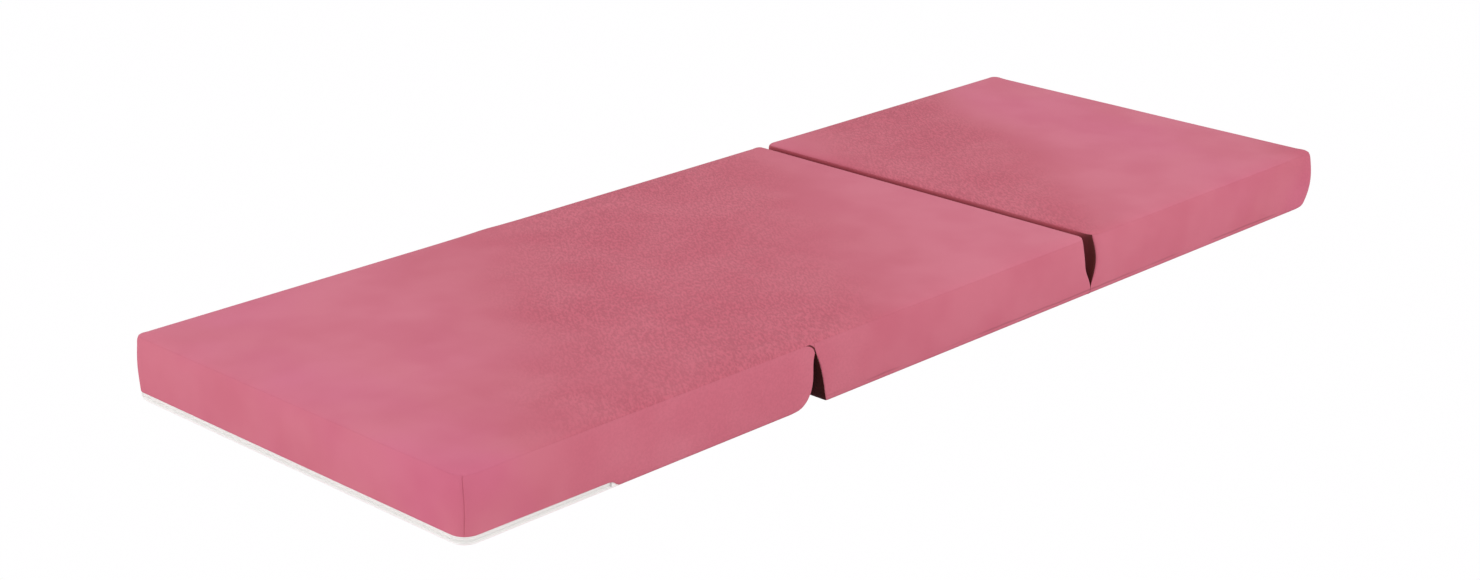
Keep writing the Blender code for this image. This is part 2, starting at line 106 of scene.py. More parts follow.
# STUDIO: WHITE SURROUND, WHITE FLOOR AND FOUR SOFT LAMPS
# The photograph is cut out on white, so the floor shows plain white to the camera and
# bounces light onto the sides. It lies a section's thickness down, because the head
# section folds in under the middle. Soft lamps tell top and sides apart.

surround_strength = 0.67
surround_white = (1.0, 1.0, 1.0, 1.0)
seen_white = (1.0, 0.995, 1.0, 1.0)
floor_shade = (0.93, 0.93, 0.93, 1.0)
floor_half_size = 9.0
floor_drop = 0.1015

# Each lamp's place, its width and its power in watts
lamps = {
    "key_lamp": ((-3.5, -2.2, 2.4), 2.6, 26.0),
    "fill_lamp": ((1.6, -3.6, 1.9), 2.6, 44.0),
    "top_lamp": ((0.4, 0.9, 3.4), 3.0, 20.0),
    "end_lamp": ((-3.6, 1.2, 0.9), 2.0, 22.0),
}


def set_sockets(node, values):
    """Sets plain numbers and colours on a node's inputs, by the inputs' names."""
    for socket, value in values.items():
        node.inputs[socket].default_value = value


def white_to_camera(tree, lit, seen, out):
    """Lights the scene with one shader, and shows the camera plain white instead."""
    set_sockets(seen, {"Color": seen_white})
    ray = tree.nodes.new("ShaderNodeLightPath")
    choose = tree.nodes.new("ShaderNodeMixShader")
    tree.links.new(ray.outputs["Is Camera Ray"], choose.inputs["Fac"])
    tree.links.new(lit.outputs[0], choose.inputs[1])
    tree.links.new(seen.outputs[0], choose.inputs[2])
    tree.links.new(choose.outputs["Shader"], out.inputs["Surface"])


def add_shape(name, shape):
    """Turns a bmesh into an object of this name, and frees the bmesh."""
    mesh = bpy.data.meshes.new(name)
    shape.to_mesh(mesh)
    shape.free()
    return add_object(name, mesh)


world = bpy.data.worlds.new("studio_surround")
bpy.context.scene.world = world
world.use_nodes = True
tree = world.node_tree
tree.nodes.clear()
plain = tree.nodes.new("ShaderNodeBackground")
set_sockets(plain, {"Color": surround_white, "Strength": surround_strength})
seen = tree.nodes.new("ShaderNodeBackground")
white_to_camera(tree, plain, seen, tree.nodes.new("ShaderNodeOutputWorld"))

plate = bmesh.new()
bmesh.ops.create_grid(plate, x_segments=2, y_segments=2, size=floor_half_size)
bmesh.ops.translate(plate, vec=(0.0, 0.0, -floor_drop), verts=plate.verts)
floor = add_shape("floor", plate)
floor_white = bpy.data.materials.new("floor_white")
floor_white.use_nodes = True
tree = floor_white.node_tree
tree.nodes.clear()
matt = tree.nodes.new("ShaderNodeBsdfDiffuse")
set_sockets(matt, {"Color": floor_shade})
seen = tree.nodes.new("ShaderNodeEmission")
white_to_camera(tree, matt, seen, tree.nodes.new("ShaderNodeOutputMaterial"))
floor.data.materials.append(floor_white)

for name, (place, width, power) in lamps.items():
    lamp_data = bpy.data.lights.new(name, "AREA")
    lamp_data.shape = "SQUARE"
    lamp_data.size = width
    lamp_data.energy = power
    lamp = add_object(name, lamp_data)
    lamp.location = place
    lamp.rotation_euler = (-Vector(place)).to_track_quat("-Z", "Y").to_euler()


# THE PADDED FORM THAT THE WHOLE COVER FOLLOWS
# Each section is a foam block in a taut cover: the sides are drawn in at their edges, the
# edges are rounded and the top is crowned. A box of cells is moved onto that form.

joint_places = {joint["name"]: joint.get("pos_m") for joint in frame["record"]["behaviour"]["joints"]}
foot_hinge_x = joint_places["foot_fold"][0]
head_hinge_x = joint_places["head_fold"][0]
half_length, half_width, top_height = (round(size, 4) for size in cad_bounds[1])
fold_gap = 0.00015
crown_rise = 0.0025
crown_reach = 0.11
lean_from = 0.004
seam_share = 1.0 - math.sqrt(0.5)
least_corner_share = 0.3

# The panels of a section, and its corners in plan, anticlockwise
near, head, far, foot, top, bottom = range(6)
near_head, far_head, far_foot, near_foot = range(4)

# The cloth runs on over the lower fold's foot, so its corners are only tight down there
tight_radius = 0.0015
tight_below = 0.014
round_above = 0.045

# The upper fold's walls meet above this height, where the cloth runs on between them
fold_closed_above = 0.084
fold_round_below = 0.062


def share_between(value, start, end):
    """How far a value has come from start to end, from 0 to 1."""
    return min(max((value - start) / (end - start), 0.0), 1.0)


def eased(share):
    """A share that sets off and arrives gently."""
    return share * share * (3.0 - 2.0 * share)


def rounding(radius, distance):
    """How far a rounded edge has drawn in at a distance from its outermost line."""
    if distance >= radius:
        return 0.0
    return radius - math.sqrt(radius ** 2 - (radius - max(distance, 0.0)) ** 2)


def make_side(upper, lower, **others):
    """One side's profile: the radii of its edges, and any bulge, tuck or lean of its cloth."""
    side = {
        "upper": upper,
        "lower": lower,
        "bulge": 0.0,
        "tuck": 0.0,
        "lean_at_top": 0.0,
        "lean_at_bottom": 0.0,
        "lean_start": lean_from,
        "lean_end": top_height,
    }
    side.update(others)
    return side


def inset(side, height):
    """How far a side's cloth is drawn in from its outermost plane at a height."""
    shoulder = min(side["lean_end"], top_height - side["upper"])
    share = share_between(height, side["lean_start"], shoulder)
    drawn = side["lean_at_top"] * share + side["lean_at_bottom"] * (1.0 - share)
    drawn += side["tuck"] * math.sin(math.pi * share)
    drawn += side["bulge"] * math.cos(math.pi * height / top_height) ** 2
    return drawn + rounding(side["lower"], height) + rounding(side["upper"], top_height - height)


long_side = make_side(upper=0.014, lower=0.0025, bulge=0.004)
sections = {
    "foot": {
        "low_x": -half_length,
        "high_x": foot_hinge_x - fold_gap,
        "folds": (foot_hinge_x,),
        "sides": (
            long_side,
            make_side(upper=0.0, lower=0.04),
            long_side,
            make_side(upper=0.014, lower=0.0025, bulge=0.0015),
        ),
        "radii": (0.009, 0.009, 0.017, 0.026),
        "tight_at_foot": (),
        "tight_at_top": (near_head, far_head),
        "crowned": (near, far, foot),
    },
    "middle": {
        "low_x": foot_hinge_x + fold_gap,
        "high_x": head_hinge_x - fold_gap,
        "folds": (foot_hinge_x, head_hinge_x),
        "sides": (
            long_side,
            make_side(upper=0.008, lower=0.0, lean_at_top=0.015, lean_start=0.016),
            long_side,
            make_side(upper=0.0, lower=0.003, lean_at_bottom=0.025, lean_end=fold_closed_above),
        ),
        "radii": (0.024, 0.024, 0.009, 0.009),
        "tight_at_foot": (near_head, far_head),
        "tight_at_top": (far_foot, near_foot),
        "crowned": (near, far, head),
    },
    "head": {
        "low_x": head_hinge_x + fold_gap,
        "high_x": half_length,
        "folds": (head_hinge_x,),
        "sides": (
            long_side,
            make_side(upper=0.018, lower=0.035, bulge=0.005),
            long_side,
            make_side(upper=0.012, lower=0.0, lean_at_top=0.001, lean_start=0.016, tuck=0.007),
        ),
        "radii": (0.026, 0.026, 0.02, 0.02),
        "tight_at_foot": (far_foot, near_foot),
        "tight_at_top": (),
        "crowned": (near, far, head, foot),
    },
}


def corner_radii(section, insets, height):
    """Plan radii at a level, from the near head-side corner anticlockwise."""
    radii = []
    for corner, radius in enumerate(section["radii"]):
        share = 1.0
        if corner in section["tight_at_foot"]:
            share = share_between(height, tight_below, round_above)
        if corner in section["tight_at_top"]:
            share = share_between(height, fold_closed_above, fold_round_below)
        radius = tight_radius + (radius - tight_radius) * eased(share)
        mean_inset = 0.5 * (insets[corner] + insets[(corner + 1) % 4])
        radii.append(max(radius - mean_inset, radius * least_corner_share))
    return radii


def plan_at(section, insets):
    """The straight edges of a section's plan: its low x, high x, low y and high y."""
    low_x = section["low_x"] + insets[foot]
    high_x = section["high_x"] - insets[head]
    return low_x, high_x, -half_width + insets[near], half_width - insets[far]


def round_corner(plan, radii, x, y):
    """Moves a point of a square-cornered plan to its rounded plan, ring by ring."""
    low_x, high_x, low_y, high_y = plan
    x_side = head if high_x - x < x - low_x else foot
    y_side = near if y - low_y < high_y - y else far
    corners = {(near, head): near_head, (far, head): far_head, (far, foot): far_foot, (near, foot): near_foot}
    radius = radii[corners[y_side, x_side]]
    across = radius - (high_x - x if x_side == head else x - low_x)
    along = radius - (y - low_y if y_side == near else high_y - y)
    if across <= 0.0 or along <= 0.0:
        return x, y, None
    ring = max(across, along)
    angle = math.radians(45.0) * min(across, along) / ring
    wide = ring * math.cos(angle)
    narrow = ring * math.sin(angle)
    new_across, new_along = (wide, narrow) if across >= along else (narrow, wide)
    x = high_x - radius + new_across if x_side == head else low_x + radius - new_across
    y = low_y + radius - new_along if y_side == near else high_y - radius + new_along
    x_share = 1.0 - 0.5 * along / across if across >= along else 0.5 * across / along
    return x, y, (radius - ring, x_side, y_side, x_share)


def point_in_plan(section, insets, height, x_share, y_share):
    """The point at these shares of a section's rounded plan, and how it lies in a corner."""
    plan = plan_at(section, insets)
    low_x, high_x, low_y, high_y = plan
    x = low_x + x_share * (high_x - low_x)
    y = low_y + y_share * (high_y - low_y)
    return round_corner(plan, corner_radii(section, insets, height), x, y)


def smooth_rise(distance):
    """How far the top has risen to its crown at a distance from its edge."""
    return 1.0 - (1.0 - min(distance / crown_reach, 1.0)) ** 2


def roof_height(section, from_side, arc):
    """Height of the top: crowned in the middle and rounded down to its edges."""
    sides = section["sides"]
    drop = 0.0
    joint_corner = arc is not None and min(sides[arc[1]]["upper"], sides[arc[2]]["upper"]) == 0.0
    if arc is None or joint_corner:
        for index, side in enumerate(sides):
            drop += rounding(side["upper"], seam_share * side["upper"] + from_side[index])
    else:
        depth, x_side, y_side, x_share = arc
        radius = x_share * sides[x_side]["upper"] + (1.0 - x_share) * sides[y_side]["upper"]
        drop = rounding(radius, seam_share * radius + depth)
    rise = 1.0
    for index in section["crowned"]:
        rise *= smooth_rise(from_side[index])
    return top_height - crown_rise * (1.0 - rise) - drop


# Cell lines by a seam, then even cells of about a centimetre; rows up a side by share
seam_cells = (0.0, 0.002, 0.0055, 0.0105, 0.0165, 0.024)
cells_along = 48
cells_across = 56
row_shares = (0.0, 0.03, 0.08, 0.15, 0.24, 0.34, 0.45, 0.56, 0.67, 0.77, 0.85, 0.91, 0.955, 0.985, 1.0)


def cell_shares(length, cells):
    """Cell lines as shares of a length: close together by the seams, even between them."""
    start = seam_cells[-1]
    step = (length - 2.0 * start) / cells
    places = list(seam_cells[:-1])
    places += [start + step * index for index in range(cells + 1)]
    places += [length - place for place in reversed(seam_cells[:-1])]
    return [place / length for place in places]


def seam_level(section):
    """Insets of the four sides where the top panel's cloth meets them."""
    levels = []
    for index, side in enumerate(section["sides"]):
        roof = top_height - crown_rise if index in section["crowned"] else top_height
        levels.append(inset(side, roof - seam_share * side["upper"]))
    return levels


def form_point(section, column, row, hem):
    """A point of the padded form: a column of cells in plan, and a row up the side."""
    levels = seam_level(section)
    low_x, high_x, low_y, high_y = plan_at(section, levels)
    x_share = cell_shares(high_x - low_x, cells_along)[column[0]]
    y_share = cell_shares(high_y - low_y, cells_across)[column[1]]
    x, y, arc = point_in_plan(section, levels, top_height, x_share, y_share)
    roof = roof_height(section, (y - low_y, high_x - x, high_y - y, x - low_x), arc)
    if row == len(row_shares) - 1:
        return Vector((x, y, roof))
    height = hem + (roof - hem) * row_shares[row]
    insets = [inset(side, height) for side in section["sides"]]
    x, y, arc = point_in_plan(section, insets, height, x_share, y_share)
    return Vector((x, y, height))


# Zip openings: height of the cover's lower edge, how far each runs, and what counts as far side
hem_height = 0.012
hem_end_height = 0.0105
hem_ramp = 0.012
foot_zip_run = 0.25
far_edge_reach = 0.03
side_tapes = {name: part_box(name + "_zip_upper_tape") for name in ("middle", "head")}


def hem_line(name, x, y):
    """Height of the cover's lower edge above the floor at a point of the outline."""
    if name == "foot":
        run = x + half_length
        if run > foot_zip_run + hem_ramp:
            return 0.0
        if run > foot_zip_run:
            return hem_end_height * (1.0 - (run - foot_zip_run) / hem_ramp)
        return hem_height + (hem_end_height - hem_height) * max(run, 0.0) / foot_zip_run
    if y < half_width - far_edge_reach:
        return 0.0
    tape = side_tapes[name]
    inside = min(x - tape[0][0], tape[1][0] - x) + hem_ramp
    return hem_end_height * share_between(inside, 0.0, hem_ramp)


def make_form(name, open_hem):
    """One section's closed form, with each face marked by the panel it belongs to."""
    section = sections[name]
    shape = bmesh.new()
    bmesh.ops.create_cube(shape, size=1.0)
    ends = len(seam_cells) - 1
    counts = (cells_along + 2 * ends, cells_across + 2 * ends, len(row_shares) - 1)
    for axis, count in enumerate(counts):
        edges = [edge for edge in shape.edges if abs(edge.verts[0].co[axis] - edge.verts[1].co[axis]) > 0.5]
        bmesh.ops.subdivide_edges(shape, edges=edges, cuts=count - 1, use_grid_fill=True)
    panel_of = shape.faces.layers.int.new("panel")
    shape.normal_update()
    ways = ((0, -1, 0), (1, 0, 0), (0, 1, 0), (-1, 0, 0), (0, 0, 1), (0, 0, -1))
    for face in shape.faces:
        face[panel_of] = max(range(6), key=lambda index: face.normal.dot(Vector(ways[index])))
    for vert in shape.verts:
        cell = [round((vert.co[axis] + 0.5) * counts[axis]) for axis in range(3)]
        hem = 0.0
        if open_hem:
            on_floor = form_point(section, cell[:2], 1, 0.0)
            hem = hem_line(name, on_floor.x, on_floor.y)
        vert.co = form_point(section, cell[:2], cell[2], hem)
    shape.normal_update()
    return shape, panel_of


# How deep each kind of seam is drawn into the padding
top_seam_depth = 0.00025
corner_seam_depth = 0.0011
floor_seam_depth = 0.0005
shared_reach = 0.001


def sink_seams(shape, panel_of, fold_lines):
    """Draws the cloth in along every seam, but not where two sections share their cloth."""
    moves = []
    for vert in shape.verts:
        panels = {face[panel_of] for face in vert.link_faces}
        if len(panels) < 2 or any(abs(vert.co.x - x) < shared_reach for x in fold_lines):
            continue
        if top in panels:
            depth = top_seam_depth
        elif bottom in panels:
            depth = floor_seam_depth
        else:
            depth = corner_seam_depth
        moves.append((vert, vert.normal * depth))
    for vert, move in moves:
        vert.co -= move
        vert.co.z = max(vert.co.z, 0.0)


# The cover is filled by a cloth simulation: its seams, its underside and the cloth by the
# folds are held, the panels between them start a little slack and swell out to the form
fill_room = 0.002
fill_reach = 0.05
fill_pressure = 4.0
fill_frames = 20
fill_quality = 4
hinge_hold = 0.012


def fill_cover(shape, panel_of, fold_lines):
    """Swells a form's free panels under pressure, and caps how far each point moves."""
    shape.normal_update()
    held = []
    for vert in shape.verts:
        panels = {face[panel_of] for face in vert.link_faces}
        by_fold = any(abs(vert.co.x - x) < hinge_hold for x in fold_lines)
        held.append(len(panels) > 1 or bottom in panels or by_fold)
    fixed = kdtree.KDTree(sum(held))
    for vert, is_held in zip(shape.verts, held):
        if is_held:
            fixed.insert(vert.co, vert.index)
    fixed.balance()
    for vert, is_held in zip(shape.verts, held):
        share = 0.0 if is_held else min(fixed.find(vert.co)[2] / fill_reach, 1.0)
        vert.co -= vert.normal * fill_room * eased(share)
    mesh = bpy.data.meshes.new("cover_filling")
    shape.to_mesh(mesh)
    pad = add_object("cover_filling", mesh)
    pins = pad.vertex_groups.new(name="held")
    pins.add([index for index, is_held in enumerate(held) if is_held], 1.0, "REPLACE")
    cloth = pad.modifiers.new("cover", "CLOTH")
    cloth.settings.vertex_group_mass = "held"
    cloth.settings.use_pressure = True
    cloth.settings.uniform_pressure_force = fill_pressure
    cloth.settings.effector_weights.gravity = 0.0
    cloth.settings.quality = fill_quality
    cloth.point_cache.frame_start = 1
    cloth.point_cache.frame_end = fill_frames
    for step in range(1, fill_frames + 1):
        bpy.context.scene.frame_set(step)
    swollen = pad.evaluated_get(bpy.context.evaluated_depsgraph_get()).data
    for vert, after, is_held in zip(shape.verts, swollen.vertices, held):
        move = after.co - vert.co
        if not is_held and move.length > 0.0:
            vert.co += move.normalized() * fill_room * (1.0 - math.exp(-move.length / fill_room))
    bpy.data.objects.remove(pad)
    bpy.data.meshes.remove(mesh)
    bpy.context.scene.frame_set(1)


forms = {}
for name, section in sections.items():
    for open_hem in (False, True):
        shape, panel_of = make_form(name, open_hem)
        sink_seams(shape, panel_of, section["folds"])
        if open_hem:
            fill_cover(shape, panel_of, section["folds"])
        forms[name, open_hem] = shape, panel_of

weld_distance = 3.0 * fold_gap
cloth_thickness = 0.0015
seam_reach = 0.012


def join_shapes(parts):
    """Copies several bmeshes into one, and frees them."""
    whole = bmesh.new()
    carrier = bpy.data.meshes.new("carrier")
    for part in parts:
        part.to_mesh(carrier)
        part.free()
        whole.from_mesh(carrier)
    bpy.data.meshes.remove(carrier)
    return whole


def take_panels(wanted, weld=False):
    """Copies panels out of the forms into one open bmesh. wanted holds (section, open hem, panel)."""
    parts = []
    for name, open_hem, panel in wanted:
        part = forms[name, open_hem][0].copy()
        others = [face for face in part.faces if face[part.faces.layers.int["panel"]] != panel]
        bmesh.ops.delete(part, geom=others, context="FACES")
        parts.append(part)
    taken = join_shapes(parts)
    if weld:
        bmesh.ops.remove_doubles(taken, verts=taken.verts, dist=weld_distance)
    return taken


def bake(piece):
    """Applies a piece's modifiers to its mesh."""
    bpy.context.view_layer.update()
    evaluated = piece.evaluated_get(bpy.context.evaluated_depsgraph_get())
    mesh = bpy.data.meshes.new_from_object(evaluated)
    old = piece.data
    piece.modifiers.clear()
    piece.data = mesh
    bpy.data.meshes.remove(old)
    mesh.name = piece.name


def finish_cloth(name, shape, ruffle, material, nodes_replaced):
    """Makes a panel a smooth sheet with folded edges, and gives it its soft unevenness."""
    panel = add_shape(name, shape)
    smooth = panel.modifiers.new("smooth", "SUBSURF")
    smooth.levels = 1
    smooth.render_levels = 1
    smooth.boundary_smooth = "PRESERVE_CORNERS"
    bake(panel)
    mesh = panel.data
    use_of_edge = {}
    for face in mesh.polygons:
        for key in face.edge_keys:
            use_of_edge[key] = use_of_edge.get(key, 0) + 1
    seam_verts = sorted({index for key, count in use_of_edge.items() if count == 1 for index in key})
    seam = kdtree.KDTree(len(seam_verts))
    for index in seam_verts:
        seam.insert(mesh.vertices[index].co, index)
    seam.balance()
    normals = [vert.normal.copy() for vert in mesh.vertices]
    for vert, normal in zip(mesh.vertices, normals):
        from_seam = seam.find(vert.co)[2]
        vert.co += normal * ruffle(vert.co) * eased(min(from_seam / seam_reach, 1.0))
        vert.co.z = max(vert.co.z, 0.0)
    rim = panel.modifiers.new("rim", "SOLIDIFY")
    rim.thickness = cloth_thickness
    rim.offset = -1.0
    rim.use_rim_only = True
    bake(panel)
    panel.data.shade_smooth()
    panel.data.materials.append(material)
    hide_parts(*nodes_replaced)
    return panel


# VELOUR: THE CLOTH OF EVERY COVER PANEL
# A brushed short pile. Where it stands up the rose is deeper, with short strokes that all
# lean one way; where it lies flat it is lighter and smooth, with a pinker tint in places.

# Each noise's scale, in cells a metre, and its detail
zone_noise = (5.5, 3.0)
stroke_noise = (290.0, 2.5)
fibre_noise = (1100.0, 2.0)
tint_noise = (4.2, 2.0)
patch_noise = (9.0, 2.0)
seam_noise = (16.0, 3.0)
press_noise = (7.0, 1.0)

# The span of a noise, a wave or a distance over which its mask turns on
raised_span = (-0.55, 0.75)
brushed_span = (0.1, 0.95)
stroke_span = (0.34, 0.66)
patch_span = (0.3, 0.7)
tint_span = (0.42, 0.7)
tint_x_span = (0.55, 0.93)
press_span = (0.36, 0.56)
seam_span = (0.0006, 0.0022)
crease_span = (0.0008, 0.0026)
crease_start_span = (-0.001, 0.004)

# How the zones and strokes lie, and how much each effect counts
zone_lean = 0.65
zone_wander = 0.5
stroke_heading = math.radians(53.0)
stroke_stretch = (2.6, 1.0, 1.0)
tint_strength = 0.6
fibre_share = 0.25
patch_depth = 0.05
patch_fade = 0.7

# The puckered line above the bottom seam, where shade is painted darker, and the curved crease by the upper
# fold, drawn in and also painted darker as shade
seam_height = 0.0085
seam_wander = 0.004
crease_radius = 0.020
crease_height = 0.0125
crease_foot = 0.0820


def linear(red, green, blue):
    """A colour read off a picture, as the linear values that a shader takes."""
    return tuple(((value / 255 + 0.055) / 1.055) ** 2.4 for value in (red, green, blue)) + (1.0,)


def own_place(tree):
    """The piece's own coordinates."""
    return tree.nodes.new("ShaderNodeTexCoord").outputs["Object"]


def split_place(tree, place):
    """The three coordinates of a place, by their letters."""
    split = tree.nodes.new("ShaderNodeSeparateXYZ")
    tree.links.new(place, split.inputs["Vector"])
    return split.outputs


def feed(tree, socket, value):
    """Links a value to a socket, or sets it there if it is a plain number or colour."""
    if isinstance(value, bpy.types.NodeSocket):
        tree.links.new(value, socket)
    else:
        socket.default_value = value


def add_math(tree, operation, *values):
    """A math node on sockets or plain numbers; returns its output."""
    node = tree.nodes.new("ShaderNodeMath")
    node.operation = operation
    for socket, value in zip(node.inputs, values):
        feed(tree, socket, value)
    return node.outputs["Value"]


def add_noise(tree, place, scale, detail, stretch=(1.0, 1.0, 1.0), turn=0.0):
    """A noise value at a place, drawn out along one direction in plan."""
    mapping = tree.nodes.new("ShaderNodeMapping")
    mapping.vector_type = "TEXTURE"
    set_sockets(mapping, {"Scale": stretch, "Rotation": (0.0, 0.0, turn)})
    tree.links.new(place, mapping.inputs["Vector"])
    texture = tree.nodes.new("ShaderNodeTexNoise")
    set_sockets(texture, {"Scale": scale, "Detail": detail})
    tree.links.new(mapping.outputs["Vector"], texture.inputs["Vector"])
    return texture.outputs["Fac"]


def add_range(tree, value, start, end, low=0.0, high=1.0, way="SMOOTHSTEP"):
    """Stretches a value from one range to another; returns the output."""
    node = tree.nodes.new("ShaderNodeMapRange")
    node.interpolation_type = way
    numbers = {"Value": value, "From Min": start, "From Max": end, "To Min": low, "To Max": high}
    for socket, number in numbers.items():
        feed(tree, node.inputs[socket], number)
    return node.outputs["Result"]


def add_mix(tree, factor, first, second):
    """Mixes two colours, each a socket or a plain colour; returns the output."""
    node = tree.nodes.new("ShaderNodeMix")
    node.data_type = "RGBA"
    tree.links.new(factor, node.inputs["Factor"])
    ends = [socket for socket in node.inputs if socket.type == "RGBA"]
    for socket, colour in zip(ends, (first, second)):
        feed(tree, socket, colour)
    return [socket for socket in node.outputs if socket.type == "RGBA"][0]


def add_bump(tree, shader, height, strength, distance):
    """Gives a shader a relief that follows a height."""
    bump = tree.nodes.new("ShaderNodeBump")
    set_sockets(bump, {"Strength": strength, "Distance": distance})
    tree.links.new(height, bump.inputs["Height"])
    tree.links.new(bump.outputs["Normal"], shader.inputs["Normal"])


def new_material(name, values):
    """A material with plain values on its shader, its node tree and that shader."""
    material = bpy.data.materials.new(name)
    material.use_nodes = True
    shader = material.node_tree.nodes["Principled BSDF"]
    set_sockets(shader, values)
    return material, material.node_tree, shader


def put_out(group, values):
    """Gives a node group one output for each named value."""
    for socket in values:
        group.interface.new_socket(socket, in_out="OUTPUT", socket_type="NodeSocketFloat")
    result = group.nodes.new("NodeGroupOutput")
    for socket, value in values.items():
        group.links.new(value, result.inputs[socket])


def pile_group():
    """Node group of the pile: where it stands up, its strokes, its tint and its height, and the masks where
    shade is painted at a fold wall's near end and along the seam line.
    """
    group = bpy.data.node_groups.new("velour_pile", "ShaderNodeTree")
    for socket in ("Zone Centre", "Zone Period", "Shade From", "Shade Full"):
        group.interface.new_socket(socket, in_out="INPUT", socket_type="NodeSocketFloat")
    given = group.nodes.new("NodeGroupInput").outputs
    place = own_place(group)
    at = split_place(group, place)
    along = add_math(group, "MULTIPLY_ADD", at["Y"], -zone_lean, at["X"])
    along = add_math(group, "SUBTRACT", along, given["Zone Centre"])
    along = add_math(group, "DIVIDE", along, given["Zone Period"])
    wander = add_noise(group, place, *zone_noise)
    wander = add_math(group, "MULTIPLY_ADD", wander, 2.0 * zone_wander, -zone_wander)
    wave = add_math(group, "COSINE", add_math(group, "MULTIPLY", along, 2.0 * math.pi))
    wave = add_math(group, "ADD", wave, wander)
    brushed = add_range(group, wave, *brushed_span)
    stroke = add_noise(group, place, *stroke_noise, stroke_stretch, stroke_heading)
    stroke = add_range(group, stroke, *stroke_span)
    fibre = add_noise(group, place, *fibre_noise)
    height = add_math(group, "MULTIPLY_ADD", fibre, fibre_share, add_math(group, "MULTIPLY", stroke, brushed))
    tint = add_range(group, add_noise(group, place, *tint_noise), *tint_span, 0.0, tint_strength)
    by_ends = add_range(group, add_math(group, "ABSOLUTE", at["X"]), *tint_x_span)
    # Mask of the painted shade at a fold wall's near end
    towards_near = add_math(group, "MULTIPLY", at["Y"], -1.0)
    # Mask of the painted shade along the puckered line above the bottom seam, broken up by a noise
    wavy = add_noise(group, place, *seam_noise)
    wavy = add_math(group, "MULTIPLY_ADD", wavy, seam_wander, -0.5 * seam_wander)
    above = add_math(group, "SUBTRACT", add_math(group, "ADD", at["Z"], wavy), seam_height)
    seam = add_range(group, add_math(group, "ABSOLUTE", above), *seam_span, 1.0, 0.0)
    pressed = add_range(group, add_noise(group, place, *press_noise), *press_span)
    put_out(group, {
        "Raised": add_range(group, wave, *raised_span),
        "Stroke": stroke,
        "Tint": add_math(group, "MULTIPLY", tint, by_ends),
        "Patch": add_range(group, add_noise(group, place, *patch_noise), *patch_span),
        "Height": height,
        "Near End": add_range(group, towards_near, given["Shade From"], given["Shade Full"]),
        "Seam": add_math(group, "MULTIPLY", seam, pressed),
        "Brushed": brushed,
    })
    return group


def crease_group():
    """Node group of the small curved crease at the upper fold, where shade is painted: 1 on its line, 0 off
    it.
    """
    group = bpy.data.node_groups.new("fold_crease", "ShaderNodeTree")
    at = split_place(group, own_place(group))
    along = add_math(group, "SUBTRACT", at["X"], foot_hinge_x - crease_radius)
    up = add_math(group, "SUBTRACT", at["Z"], crease_foot)
    up = add_math(group, "MULTIPLY", up, crease_radius / crease_height)
    reach = add_math(group, "MULTIPLY_ADD", along, along, add_math(group, "MULTIPLY", up, up))
    beside = add_math(group, "SUBTRACT", add_math(group, "SQRT", reach), crease_radius)
    line = add_range(group, add_math(group, "ABSOLUTE", beside), *crease_span, 1.0, 0.0)
    line = add_math(group, "MULTIPLY", line, add_math(group, "GREATER_THAN", up, 0.0))
    line = add_math(group, "MULTIPLY", line, add_range(group, along, *crease_start_span))
    put_out(group, {"Crease": line})
    return group


velour_pile = pile_group()
fold_crease = crease_group()
# Dark rose painted along the crease as shade
painted_crease_shade = linear(92, 34, 38)


def velour(
    name, roses, stroke_depth=0.06, bump_height=0.0003, zone=(-0.25, 1.6),
    end_shade=None, shade_reach=(0.3, 0.346), seam_shade_depth=0.0, crease_shaded=False,
):
    """A velour material: two roses by how the pile lies, broken up by strokes and patches.

    zone holds the middle of one raised zone and the distance to the next, and shade_reach the
    distances from the middle line over which painted shade comes in at a fold wall's near end.
    The seam and crease options paint shade darker along the puckered line above the bottom
    seam and along the curved crease by the upper fold.
    """
    material, tree, shader = new_material(name, {
        "Roughness": 0.95,
        "Specular IOR Level": 0.12,
        "Sheen Weight": 0.1,
        "Sheen Roughness": 0.5,
        "Sheen Tint": linear(255, 205, 215),
    })
    flat_rose, deep_rose, pink = roses
    pile = tree.nodes.new("ShaderNodeGroup")
    pile.node_tree = velour_pile
    set_sockets(pile, {"Zone Centre": zone[0], "Zone Period": zone[1]})
    set_sockets(pile, {"Shade From": shade_reach[0], "Shade Full": shade_reach[1]})
    masks = pile.outputs
    rose = add_mix(tree, masks["Raised"], flat_rose, deep_rose)
    rose = add_mix(tree, masks["Tint"], rose, pink)
    stroke = add_math(tree, "SUBTRACT", masks["Stroke"], 0.5)
    stroke = add_math(tree, "MULTIPLY", stroke, masks["Brushed"])
    value = add_math(tree, "MULTIPLY_ADD", stroke, stroke_depth, 1.0)
    patch = add_math(tree, "SUBTRACT", masks["Patch"], 0.5)
    value = add_math(tree, "MULTIPLY_ADD", patch, patch_depth, value)
    # Painted shade along the puckered line above the bottom seam
    if seam_shade_depth:
        value = add_math(tree, "MULTIPLY_ADD", masks["Seam"], -seam_shade_depth, value)
    # Painted shade at the near end of a fold wall
    if end_shade:
        rose = add_mix(tree, masks["Near End"], rose, end_shade)
    # Painted shade along the curved crease by the upper fold
    if crease_shaded:
        crease = tree.nodes.new("ShaderNodeGroup")
        crease.node_tree = fold_crease
        rose = add_mix(tree, crease.outputs["Crease"], rose, painted_crease_shade)
    shade = tree.nodes.new("ShaderNodeHueSaturation")
    fade = add_math(tree, "MULTIPLY_ADD", patch, -patch_fade * patch_depth, 1.0)
    for socket, source in {"Saturation": fade, "Color": rose, "Value": value}.items():
        tree.links.new(source, shade.inputs[socket])
    tree.links.new(shade.outputs["Color"], shader.inputs["Base Color"])
    add_bump(tree, shader, masks["Height"], strength=0.5, distance=bump_height)
    return material


